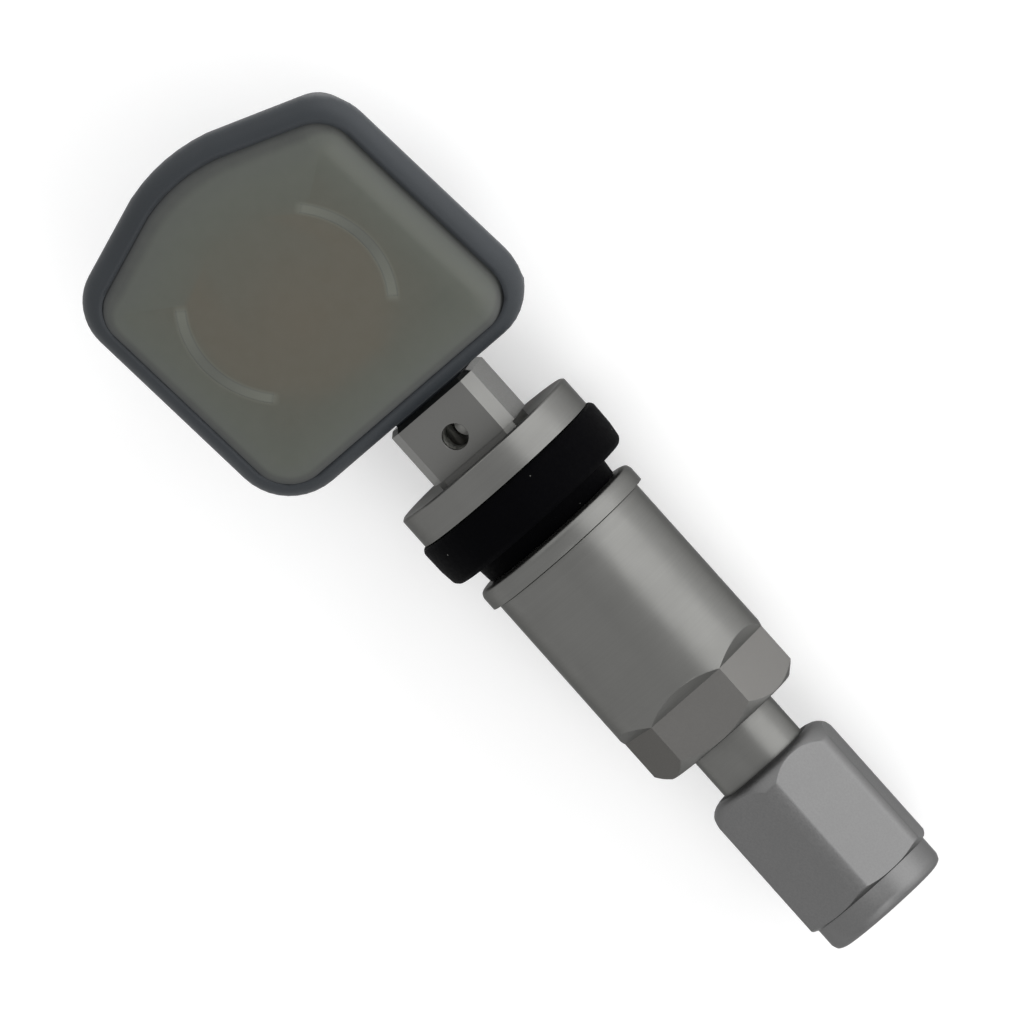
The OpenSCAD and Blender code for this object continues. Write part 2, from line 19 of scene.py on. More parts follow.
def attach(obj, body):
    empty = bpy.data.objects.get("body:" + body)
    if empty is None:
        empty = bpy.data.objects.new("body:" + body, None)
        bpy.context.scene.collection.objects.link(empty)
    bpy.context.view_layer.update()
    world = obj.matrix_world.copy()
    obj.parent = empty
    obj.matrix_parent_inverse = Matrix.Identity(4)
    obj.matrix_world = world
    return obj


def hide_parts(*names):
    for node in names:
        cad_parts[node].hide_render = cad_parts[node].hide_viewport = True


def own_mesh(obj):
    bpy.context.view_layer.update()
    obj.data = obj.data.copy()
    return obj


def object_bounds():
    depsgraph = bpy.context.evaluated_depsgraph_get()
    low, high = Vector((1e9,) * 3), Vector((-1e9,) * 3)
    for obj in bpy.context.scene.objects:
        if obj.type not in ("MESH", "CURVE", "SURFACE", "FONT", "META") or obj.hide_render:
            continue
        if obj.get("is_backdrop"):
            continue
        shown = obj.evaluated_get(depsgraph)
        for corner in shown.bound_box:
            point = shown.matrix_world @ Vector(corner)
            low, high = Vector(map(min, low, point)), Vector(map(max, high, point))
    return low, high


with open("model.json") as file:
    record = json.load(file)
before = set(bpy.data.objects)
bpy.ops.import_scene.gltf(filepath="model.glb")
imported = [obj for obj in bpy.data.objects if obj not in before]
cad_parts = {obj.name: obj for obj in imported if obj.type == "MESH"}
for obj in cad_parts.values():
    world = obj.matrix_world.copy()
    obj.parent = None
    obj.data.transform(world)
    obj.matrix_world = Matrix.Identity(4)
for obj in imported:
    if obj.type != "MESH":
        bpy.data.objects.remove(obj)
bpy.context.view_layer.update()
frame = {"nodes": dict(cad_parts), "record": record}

LOG = logging.getLogger("sensor")
MM = 0.001
FULL_TURN = 2 * math.pi
MERGE_GAP = 1e-4
NODE_MERGE_GAP = 1e-6
THREAD_BAND = 0.02
VALVE_PITCH = 0.794
THREAD_DEPTH = 0.36

BMesh = bmesh.types.BMesh
BMVert = bmesh.types.BMVert
Socket = bpy.types.NodeSocket
Profile = Sequence[tuple[float, float]]
Colour = tuple[float, float, float]


class Body(Enum):
    """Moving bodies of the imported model."""

    SENSOR = "sensor"
    WASHER = "washer"
    NUT = "nut"
    SEAL_DISC = "seal_disc"
    CAP = "cap"
    PIN = "pin"


class Cut(Enum):
    """Ways in which one closed mesh changes another."""

    ADD = "UNION"
    TAKE = "DIFFERENCE"
    KEEP = "INTERSECT"


def shade(red: float, green: float, blue: float) -> Colour:
    """Turns a colour written in display levels into the linear one that the nodes take.

    Args:
        red: Red level from 0 to 255.
        green: Green level from 0 to 255.
        blue: Blue level from 0 to 255.

    Returns:
        The linear colour.
    """
    def linear(level: float) -> float:
        """Returns the linear value of one display level, by the display's own curve."""
        part = level / 255
        return part / 12.92 if part <= 0.04045 else ((part + 0.055) / 1.055) ** 2.4

    return linear(red), linear(green), linear(blue)


def times(colour: Colour, factor: float) -> Colour:
    """Returns a colour with every channel multiplied by a factor."""
    return tuple(channel * factor for channel in colour)


def bevelled(
    bm: BMesh, geom: Sequence, size: float, segments: int = 1, affect: str = "EDGES", clamp: bool = False
) -> None:
    """Cuts edges or corners back.

    Args:
        bm: Body to change.
        geom: Its edges or corners.
        size: How far they are cut back.
        segments: Steps of the rounding, 1 for a flat chamfer.
        affect: EDGES or VERTICES.
        clamp: Whether neighbours limit the size.
    """
    bmesh.ops.bevel(
        bm, geom=geom, offset=size, offset_type="OFFSET", affect=affect, segments=segments, profile=0.5,
        material=-1, clamp_overlap=clamp,
    )


def looped(bm: BMesh, verts: Sequence[BMVert]) -> list[bmesh.types.BMEdge]:
    """Returns new edges that join points to a closed loop."""
    return [bm.edges.new((verts[i], verts[(i + 1) % len(verts)])) for i in range(len(verts))]


def spun(points: Profile, rounds: dict[int, float] | None = None, steps: int = 192) -> BMesh:
    """Turns a profile about the valve axis into a closed body.

    Args:
        points: Profile as (radius, station) points. It closes on itself unless both ends are on the axis.
        rounds: Rounding of single profile corners, as corner number to size.
        steps: Number of segments of the full turn.

    Returns:
        The body as a bmesh.
    """
    bm = bmesh.new()
    verts = [bm.verts.new((station, 0, radius)) for radius, station in points]
    on_axis = points[0][0] == 0 and points[-1][0] == 0
    for i in range(len(verts) - (1 if on_axis else 0)):
        bm.edges.new((verts[i], verts[(i + 1) % len(verts)]))
    for number, size in sorted((rounds or {}).items()):
        bevelled(bm, [verts[number]], size, 4, "VERTICES")
    bmesh.ops.spin(
        bm, geom=bm.verts[:] + bm.edges[:], cent=(0, 0, 0), axis=(1, 0, 0), angle=FULL_TURN, steps=steps,
        use_merge=True,
    )
    bmesh.ops.remove_doubles(bm, verts=bm.verts, dist=MERGE_GAP)
    bmesh.ops.recalc_face_normals(bm, faces=bm.faces)
    return bm


def points_of(geom: Iterable) -> list[BMVert]:
    """Returns the points among an operator's results."""
    return [g for g in geom if isinstance(g, BMVert)]


def stations(start: float, end: float, step: float) -> list[float]:
    """Returns evenly spread stations from start to end, at most step apart."""
    count = math.ceil(abs(end - start) / step)
    return [start + (end - start) * i / count for i in range(count + 1)]


def threaded(
    bm: BMesh, start: float, end: float, radius: float, pitch: float, depth: float = THREAD_DEPTH,
) -> None:
    """Presses a helical thread into a spun wall that has stations close enough to carry it.

    Args:
        bm: Body that was spun about the valve axis.
        start: First station of the thread.
        end: Last station of the thread.
        radius: Radius of the wall.
        pitch: Advance of the thread in one turn.
        depth: Depth of the thread, negative for one that stands out.
    """
    for vert in bm.verts:
        x, y, z = vert.co
        if start <= x <= end and abs(math.hypot(y, z) - radius) < THREAD_BAND:
            phase = (x / pitch - math.atan2(z, y) / FULL_TURN) % 1
            fade = min(1.0, (x - start) / pitch, (end - x) / pitch)
            scale = 1 - depth * fade * abs(2 * phase - 1) / radius
            vert.co = (x, y * scale, z * scale)


def softened(bm: BMesh, width: float, segments: int = 2, limit: float = 28) -> None:
    """Rounds every edge that is sharper than a limit.

    Args:
        bm: Body to change.
        width: Size of the rounding.
        segments: Number of steps of the rounding.
        limit: Angle between faces in degrees, above which an edge is rounded.
    """
    bmesh.ops.remove_doubles(bm, verts=bm.verts, dist=2 * MERGE_GAP)
    bmesh.ops.dissolve_degenerate(bm, dist=MERGE_GAP, edges=bm.edges)
    edges = [e for e in bm.edges if len(e.link_faces) == 2 and e.calc_face_angle(0) > math.radians(limit)]
    bevelled(bm, edges, width, segments, clamp=True)


def meshed(bm: BMesh, name: str) -> bpy.types.Mesh:
    """Turns a bmesh into a mesh.

    Args:
        bm: The shape, freed here.
        name: Name of the mesh.

    Returns:
        The mesh.
    """
    mesh = bpy.data.meshes.new(name)
    bm.to_mesh(mesh)
    bm.free()
    return mesh


def placed(name: str, data: bpy.types.ID) -> bpy.types.Object:
    """Puts a new object in the scene.

    Args:
        name: Its name.
        data: Its mesh, lamp or camera.

    Returns:
        The object.
    """
    piece = bpy.data.objects.new(name, data)
    bpy.context.scene.collection.objects.link(piece)
    return piece


def node_copy(name: str) -> BMesh:
    """Copies a CAD node's mesh and merges its points.

    Args:
        name: Name of the node.

    Returns:
        The copy, in metres.
    """
    bm = bmesh.new()
    bm.from_mesh(frame["nodes"][name].data)
    bmesh.ops.remove_doubles(bm, verts=bm.verts, dist=NODE_MERGE_GAP)
    return bm


def scratch(bm: BMesh, name: str) -> bpy.types.Object:
    """Returns a working object with a bmesh's shape."""
    return placed(name, meshed(bm, name))


def combined(base: BMesh, others: Iterable[tuple[BMesh, Cut]]) -> BMesh:
    """Adds closed bodies to a base, or takes them from it, one after the other.

    Args:
        base: Body that is changed.
        others: Bodies with what each does to the base.

    Returns:
        The resulting body.
    """
    target = scratch(base, "base")
    made = [target]
    for number, (tool, cut) in enumerate(others):
        made.append(scratch(tool, f"tool_{number}"))
        step = target.modifiers.new(f"cut_{number}", "BOOLEAN")
        step.operation, step.solver, step.object = cut.value, "EXACT", made[-1]
    bpy.context.view_layer.update()
    result = bmesh.new()
    result.from_object(target, bpy.context.evaluated_depsgraph_get())
    for piece in made:
        bpy.data.meshes.remove(piece.data)
    bmesh.ops.remove_doubles(result, verts=result.verts, dist=MERGE_GAP)
    return result


def turned_round(bm: BMesh, matrix: Matrix) -> BMesh:
    """Moves a whole bmesh by a matrix and returns it."""
    bmesh.ops.transform(bm, matrix=matrix, verts=bm.verts)
    return bm


def finished(
    bm: BMesh, name: str, body: Body, materials: Sequence[bpy.types.Material],
    stands_for: Sequence[str] = (), crease: float = 32, scale: float = MM,
) -> bpy.types.Object:
    """Turns a bmesh into a piece that rides on a body.

    Args:
        bm: Finished shape, freed here.
        name: Name of the piece.
        body: Body that it rides on.
        materials: Its materials, in the order of the faces' material numbers.
        stands_for: Nodes that it replaces.
        crease: Angle in degrees above which an edge stays crisp.
        scale: Factor from the shape's unit to metres.

    Returns:
        The piece.
    """
    bmesh.ops.scale(bm, vec=(scale,) * 3, verts=bm.verts)
    mesh = meshed(bm, name)
    mesh.shade_smooth()
    mesh.set_sharp_from_angle(angle=math.radians(crease))
    for material in materials:
        mesh.materials.append(material)
    piece = placed(name, mesh)
    weigh = piece.modifiers.new("even_light", "WEIGHTED_NORMAL")
    weigh.keep_sharp = True
    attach(piece, body.value)
    if stands_for:
        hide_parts(*stands_for)
    LOG.info("%s: %d faces", name, len(mesh.polygons))
    return piece


class NodeBench:
    """Lays out the nodes of one material."""

    def __init__(self, name: str) -> None:
        """Starts a material with its shader and object coordinates.

        Args:
            name: Name of the material.
        """
        self.material = bpy.data.materials.new(name)
        self.material.use_nodes = True
        tree = self.material.node_tree
        self.nodes, self.links = tree.nodes, tree.links
        self.shader = self.nodes["Principled BSDF"]
        self.place = self.nodes.new("ShaderNodeTexCoord").outputs["Object"]

    def add(self, kind: str, settings: dict[str, object] | None = None, **inputs: object) -> bpy.types.Node:
        """Adds a node.

        Args:
            kind: Blender's name of the node.
            settings: Properties to set on it.
            inputs: Sockets by name, with underscores for spaces, each a value or a socket to link.

        Returns:
            The node.
        """
        node = self.nodes.new(kind)
        for key, value in (settings or {}).items():
            setattr(node, key, value)
        for key, value in inputs.items():
            self.feed(node.inputs[key.replace("_", " ")], value)
        return node

    def feed(self, socket: Socket, value: object) -> None:
        """Links a socket to another one, or sets its value.

        Args:
            socket: Input that is fed.
            value: Output to link, or a value. Three numbers on a colour socket are an opaque colour.
        """
        if isinstance(value, Socket):
            self.links.new(value, socket)
        elif isinstance(value, tuple) and len(value) == 3 and socket.type == "RGBA":
            socket.default_value = (*value, 1)
        else:
            socket.default_value = value

    def mottle(self, scale: float | Colour, detail: float = 2, rough: float = 0.5) -> Socket:
        """Lays a noise over the piece.

        Args:
            scale: Its density per metre, alike in all directions or one for each axis.
            detail: Number of finer layers.
            rough: Weight of the finer layers.

        Returns:
            The noise.
        """
        place = self.place
        if isinstance(scale, tuple):
            place = self.add("ShaderNodeMapping", None, Vector=place, Scale=scale).outputs[0]
            scale = 1.0
        return self.add(
            "ShaderNodeTexNoise", None, Vector=place, Scale=scale, Detail=detail, Roughness=rough,
        ).outputs["Fac"]

    def spread(
        self, value: Socket, low: float, high: float, start: float = 0.3, end: float = 0.7,
    ) -> Socket:
        """Stretches a value to another range and holds it inside.

        Args:
            value: The value.
            low: Result at the start.
            high: Result at the end.
            start: Value that gives the low result.
            end: Value that gives the high result.

        Returns:
            The stretched value.
        """
        return self.add(
            "ShaderNodeMapRange", None, Value=value, From_Min=start, From_Max=end, To_Min=low, To_Max=high,
        ).outputs[0]

    def math(self, kind: str, *values: object, clamp: bool = False) -> Socket:
        """Works out one sum.

        Args:
            kind: Blender's name of the operation.
            values: Its values, up to three.
            clamp: Whether the result is held between 0 and 1.

        Returns:
            The result.
        """
        node = self.add("ShaderNodeMath", {"operation": kind, "use_clamp": clamp})
        for socket, value in zip(node.inputs, values):
            self.feed(socket, value)
        return node.outputs[0]

    def between(self, share: object, first: object, second: object) -> Socket:
        """Mixes two colours.

        Args:
            share: Share of the second colour.
            first: First colour.
            second: Second colour.

        Returns:
            The mix.
        """
        node = self.add("ShaderNodeMix", {"data_type": "RGBA", "blend_type": "MIX"})
        for number, value in zip((0, 6, 7), (share, first, second)):
            self.feed(node.inputs[number], value)
        return node.outputs[2]

    def varied(self, pattern: Socket, colour: Colour, contrast: float) -> Socket:
        """Returns a colour that a pattern makes darker and lighter by a contrast."""
        dark, light = times(colour, 1 - contrast), times(colour, 1 + contrast)
        return self.between(self.spread(pattern, 0, 1), dark, light)

    def ramp(self, value: object, stops: Sequence[tuple[float, Colour]]) -> Socket:
        """Runs a colour through stops as a value rises.

        Args:
            value: Value from 0 to 1.
            stops: The stops, as (value, colour).

        Returns:
            The colour.
        """
        node = self.add("ShaderNodeValToRGB", None, Fac=value)
        ramp = node.color_ramp
        ramp.interpolation = "EASE"
        while len(ramp.elements) < len(stops):
            ramp.elements.new(0.5)
        for element, (spot, colour) in zip(ramp.elements, stops):
            element.position, element.color = spot, (*colour, 1)
        return node.outputs["Color"]

    def relief(self, *layers: tuple[Socket, float, float]) -> None:
        """Stacks bumps on the shader.

        Args:
            layers: The bumps, each a height, a strength and a depth in millimetres.
        """
        normal = None
        for height, strength, depth in layers:
            node = self.add("ShaderNodeBump", None, Height=height, Strength=strength, Distance=depth * MM)
            if normal is not None:
                self.links.new(normal, node.inputs["Normal"])
            normal = node.outputs["Normal"]
        self.links.new(normal, self.shader.inputs["Normal"])

    def set(self, **inputs: object) -> None:
        """Feeds the shader's sockets."""
        for key, value in inputs.items():
            self.feed(self.shader.inputs[key.replace("_", " ")], value)


@dataclass(frozen=True)
class TurnedMetal:
    """Satin metal with the fine rings that a lathe leaves about the valve axis."""

    name: str
    colour: Colour
    gloss: float = 0.36
    ring_depth: float = 0.002
    contrast: float = 0.035
    edge: float = 0.45
    ring_density: Colour = (5200, 30, 30)
    fine_density: Colour = (16000, 300, 300)
    cloud_density: float = 320
    cloud_share: float = 0.35
    cloud_dark: float = 0.9

    def make(self) -> bpy.types.Material:
        """Makes the material.

        Returns:
            The material.
        """
        bench = NodeBench(self.name)
        rings = bench.mottle(self.ring_density, 3, 0.6)
        fine = bench.mottle(self.fine_density, 2, 0.6)
        cloud = bench.mottle(self.cloud_density, 3)
        colour = bench.varied(rings, self.colour, self.contrast)
        worn = times(self.colour, self.cloud_dark)
        colour = bench.between(bench.spread(cloud, 0, self.cloud_share), colour, worn)
        # Painted shade: the edge tint darkens the reflection at grazing angles, so the turned parts'
        # silhouettes show darker.
        bench.set(Base_Color=colour, Metallic=1.0, Specular_Tint=(self.edge,) * 3)
        bench.set(Roughness=bench.spread(cloud, self.gloss - 0.04, self.gloss + 0.05))
        bench.relief((rings, 0.35, self.ring_depth), (fine, 0.3, self.ring_depth / 2))
        return bench.material


@dataclass(frozen=True)
class BlastedMetal:
    """Metal with the fine even speckle of bead blasting."""

    name: str
    colour: Colour
    gloss: float = 0.42
    grain_density: float = 6500
    depth: float = 0.006
    contrast: float = 0.05
    edge: float = 0.45
    cloud_density: float = 420
    cloud_share: float = 0.3
    cloud_dark: float = 0.92

    def make(self) -> bpy.types.Material:
        """Makes the material.

        Returns:
            The material.
        """
        bench = NodeBench(self.name)
        speck = bench.mottle(self.grain_density, 3, 0.65)
        cloud = bench.mottle(self.cloud_density, 3)
        dark, light = times(self.colour, 1 - self.contrast), times(self.colour, 1 + self.contrast)
        colour = bench.between(bench.spread(speck, 0, 1, 0.35, 0.65), dark, light)
        worn = times(self.colour, self.cloud_dark)
        colour = bench.between(bench.spread(cloud, 0, self.cloud_share), colour, worn)
        # Painted shade: the edge tint darkens the reflection at grazing angles, so the blasted parts'
        # silhouettes show darker.
        bench.set(Base_Color=colour, Metallic=1.0, Specular_Tint=(self.edge,) * 3)
        bench.set(Roughness=bench.spread(speck, self.gloss - 0.05, self.gloss + 0.06))
        bench.relief((speck, 0.5, self.depth))
        return bench.material


@dataclass(frozen=True)
class Moulding:
    """Satin moulded plastic with a fine grain and a faint flow mottle."""

    name: str
    colour: Colour
    gloss: float = 0.52
    grain_depth: float = 0.004
    contrast: float = 0.07
    sheen_level: float = 0.35
    grain_density: float = 7000
    flow_density: float = 180
    flow_depth: float = 0.03

    def make(self) -> bpy.types.Material:
        """Makes the material.

        Returns:
            The material.
        """
        bench = NodeBench(self.name)
        grain = bench.mottle(self.grain_density, 3, 0.6)
        flow = bench.mottle(self.flow_density, 3)
        colour = bench.varied(flow, self.colour, self.contrast)
        bench.set(Base_Color=colour, Specular_IOR_Level=self.sheen_level)
        bench.set(Roughness=bench.spread(grain, self.gloss - 0.03, self.gloss + 0.05))
        bench.relief((flow, 0.25, self.flow_depth), (grain, 0.35, self.grain_depth))
        return bench.material


@dataclass(frozen=True)
class CastResin:
    """Cast resin over a coin cell: a brownish middle, a cooler ring, a paler border and two faint arc ribs.

    The stops of the stain run from the cell's axis outwards, and the border's from the wall inwards. The
    border's first stops are painted shade, darkening the resin next to the wall where the face falls away.
    A rib's reach is the sine of the angle that it spans to each side.
    """

    name: str
    origin: tuple[float, float, float]
    tilt: float
    rib_r: float
    rib_reach: float
    gloss: float = 0.32
    sheen_level: float = 0.35
    stain_reach: float = 17
    stain_waver: float = 2.4
    stain: tuple[tuple[float, Colour], ...] = (
        (0.0, shade(80, 75, 64)), (0.45, shade(78, 75, 65)), (0.62, shade(73, 74, 66)),
        (0.8, shade(70, 73, 66)), (1.0, shade(75, 78, 72)),
    )
    # Painted shade: the first two border stops darken the resin next to the wall; the later stops are the
    # border's paler tone.
    border_and_rim_shade: tuple[tuple[float, Colour], ...] = (
        (0.0, shade(48, 50, 51)), (0.07, shade(62, 64, 62)), (0.15, shade(75, 78, 73)),
        (0.36, shade(75, 78, 71)), (1.0, shade(72, 75, 68)),
    )
    border_end: tuple[float, float] = (0.3, 0.85)
    rib_colour: Colour = shade(92, 94, 86)
    rib_edge: tuple[float, float] = (0.26, 0.62)
    cloud_colour: Colour = shade(96, 96, 90)
    cloud_share: float = 0.08

    def make(self) -> bpy.types.Material:
        """Makes the material.

        Returns:
            The material.
        """
        bench = NodeBench(self.name)
        flat = bench.add(
            "ShaderNodeMapping", {"vector_type": "TEXTURE"}, Vector=bench.place,
            Location=times(self.origin, MM), Rotation=(0, math.radians(self.tilt), 0), Scale=(MM,) * 3,
        ).outputs[0]
        parts = bench.add("ShaderNodeSeparateXYZ", None, Vector=flat).outputs
        across = bench.math("MULTIPLY", parts["Y"], parts["Y"])
        reach = bench.math("SQRT", bench.math("MULTIPLY_ADD", parts["X"], parts["X"], across))
        wavered = bench.math("MULTIPLY_ADD", bench.mottle(230, 3), self.stain_waver, reach)
        colour = bench.ramp(bench.spread(wavered, 0, 1, 0, self.stain_reach), self.stain)
        edge = bench.add("ShaderNodeAttribute", {"attribute_name": "rim_depth"}).outputs["Fac"]
        # Painted shade: the border ramp darkens the resin towards the wall, beside the border's paler tone.
        border_and_rim_shade = bench.ramp(edge, self.border_and_rim_shade)
        colour = bench.between(bench.spread(edge, 0, 1, *self.border_end), border_and_rim_shade, colour)
        turn = bench.math("DIVIDE", bench.math("ABSOLUTE", parts["X"]), reach)
        off = bench.math("ABSOLUTE", bench.math("SUBTRACT", reach, self.rib_r))
        along = bench.spread(turn, 1, 0, self.rib_reach - 0.02, self.rib_reach + 0.05)
        rib = bench.math("MULTIPLY", bench.spread(off, 1, 0, *self.rib_edge), along)
        rib = bench.math("MULTIPLY", rib, bench.spread(turn, 0.6, 1.0, 0.1, self.rib_reach))
        colour = bench.between(rib, colour, self.rib_colour)
        cloud = bench.mottle(900, 4, 0.6)
        colour = bench.between(bench.spread(cloud, 0, self.cloud_share), colour, self.cloud_colour)
        bench.set(Base_Color=colour, Specular_IOR_Level=self.sheen_level)
        bench.set(Roughness=bench.spread(cloud, self.gloss - 0.03, self.gloss + 0.05))
        bench.relief((bench.mottle(140, 0), 0.25, 0.05))
        return bench.material


@dataclass(frozen=True)
class SealRubber:
    """Matt black rubber with a soft skin and a few grains of dust."""

    name: str
    colour: Colour
    gloss: float = 0.72
    sheen_level: float = 0.022
    bloom_factor: float = 1.5
    dust_density: float = 620.0
    dust_reach: tuple[float, float] = (0.02, 0.045)
    dust_colour: Colour = shade(120, 120, 116)

    def make(self) -> bpy.types.Material:
        """Makes the material.

        Returns:
            The material.
        """
        bench = NodeBench(self.name)
        skin = bench.mottle(3000, 4, 0.6)
        bloom = bench.mottle(260, 3)
        grains = bench.add(
            "ShaderNodeTexVoronoi", {"feature": "F1"}, Vector=bench.place, Scale=self.dust_density,
        ).outputs["Distance"]
        dust = bench.spread(grains, 1, 0, *self.dust_reach)
        pale = times(self.colour, self.bloom_factor)
        colour = bench.between(bench.spread(bloom, 0, 0.6), self.colour, pale)
        colour = bench.between(dust, colour, self.dust_colour)
        bench.set(Base_Color=colour, Specular_IOR_Level=self.sheen_level)
        bench.set(Roughness=bench.spread(skin, self.gloss - 0.06, self.gloss + 0.08))
        bench.relief((bloom, 0.3, 0.05), (skin, 0.4, 0.01))
        return bench.material


@dataclass(frozen=True)
class InnerFinish:
    """Finish of a piece that the housing or the stem hides: a colour with a mottle of its own scale."""

    name: str
    colour: Colour
    metallic: float = 0.0
    gloss: float = 0.4
    grain: float | Colour = 2500
    contrast: float = 0.15
    depth: float = 0.01

    def make(self) -> bpy.types.Material:
        """Makes the material.

        Returns:
            The material.
        """
        bench = NodeBench(self.name)
        grain = bench.mottle(self.grain, 3, 0.6)
        bench.set(Base_Color=bench.varied(grain, self.colour, self.contrast), Metallic=self.metallic)
        bench.set(Roughness=bench.spread(grain, self.gloss - 0.05, self.gloss + 0.07))
        bench.relief((grain, 0.4, self.depth))
        return bench.material


METAL = shade(111, 111, 109)
FINISHES = {
    "stem": TurnedMetal("turned_stem_metal", METAL, edge=0.37),
    "nut": TurnedMetal("turned_nut_metal", METAL, edge=0.37),
    "flats": BlastedMetal(
        "milled_flat_metal", shade(114, 113, 111), gloss=0.34, depth=0.002, contrast=0.02, edge=0.28,
    ),
    "cap": BlastedMetal("blasted_cap_metal", shade(111, 111, 111), contrast=0.08, edge=0.48),
    "milled": BlastedMetal(
        "milled_metal", shade(112, 112, 110), gloss=0.36, depth=0.002, contrast=0.02, edge=0.9,
    ),
    # Painted light: the cut finish is a much lighter metal for the cross hole and the bore, so that the
    # hole's floor shows bright.
    "cut": TurnedMetal("painted_light_hole_metal", (0.42, 0.42, 0.4), gloss=0.33, edge=0.6),
    "shell": Moulding("dark_shell_plastic", shade(38, 42, 46), gloss=0.54, sheen_level=0.33),
    "grommet": SealRubber("black_seal_rubber", (0.0007, 0.0007, 0.001)),
    "screw": TurnedMetal("screw_steel", shade(120, 118, 112), gloss=0.33),
    "holder": Moulding("holder_plastic", shade(96, 97, 88), gloss=0.45),
    "cell": InnerFinish("cell_nickel", (0.6, 0.6, 0.58), 1.0, 0.3, (300, 9000, 300), 0.08, 0.003),
    "contact": InnerFinish("contact_nickel", (0.62, 0.6, 0.55), 1.0, 0.28, (9000, 300, 300), 0.08, 0.003),
    "board": InnerFinish("solder_mask", (0.03, 0.12, 0.06), 0.0, 0.35, (1800, 900, 1800), 0.3, 0.01),
    "chip": InnerFinish("package_resin", (0.02, 0.02, 0.022), 0.0, 0.55, 4000),
    "seal": InnerFinish("red_seal_rubber", (0.25, 0.05, 0.03), 0.0, 0.6, 2500),
    "can": InnerFinish("plated_can", (0.6, 0.6, 0.58), 1.0, 0.25, 3000, 0.06, 0.003),
    "capacitor": InnerFinish("fired_ceramic", (0.35, 0.25, 0.15), 0.0, 0.5, 5000),
    "ferrite": InnerFinish("ground_ferrite", (0.03, 0.028, 0.028), 0.0, 0.5, 5000),
    "winding": InnerFinish("enamelled_wire", (0.35, 0.12, 0.04), 1.0, 0.3, (12000, 200, 200), 0.3, 0.03),
    "core": InnerFinish("turned_brass", (0.6, 0.42, 0.18), 1.0, 0.3, (8000, 200, 200), 0.12, 0.006),
    "spring": InnerFinish("drawn_wire", (0.6, 0.6, 0.6), 1.0, 0.25, 4000, 0.08, 0.003),
}


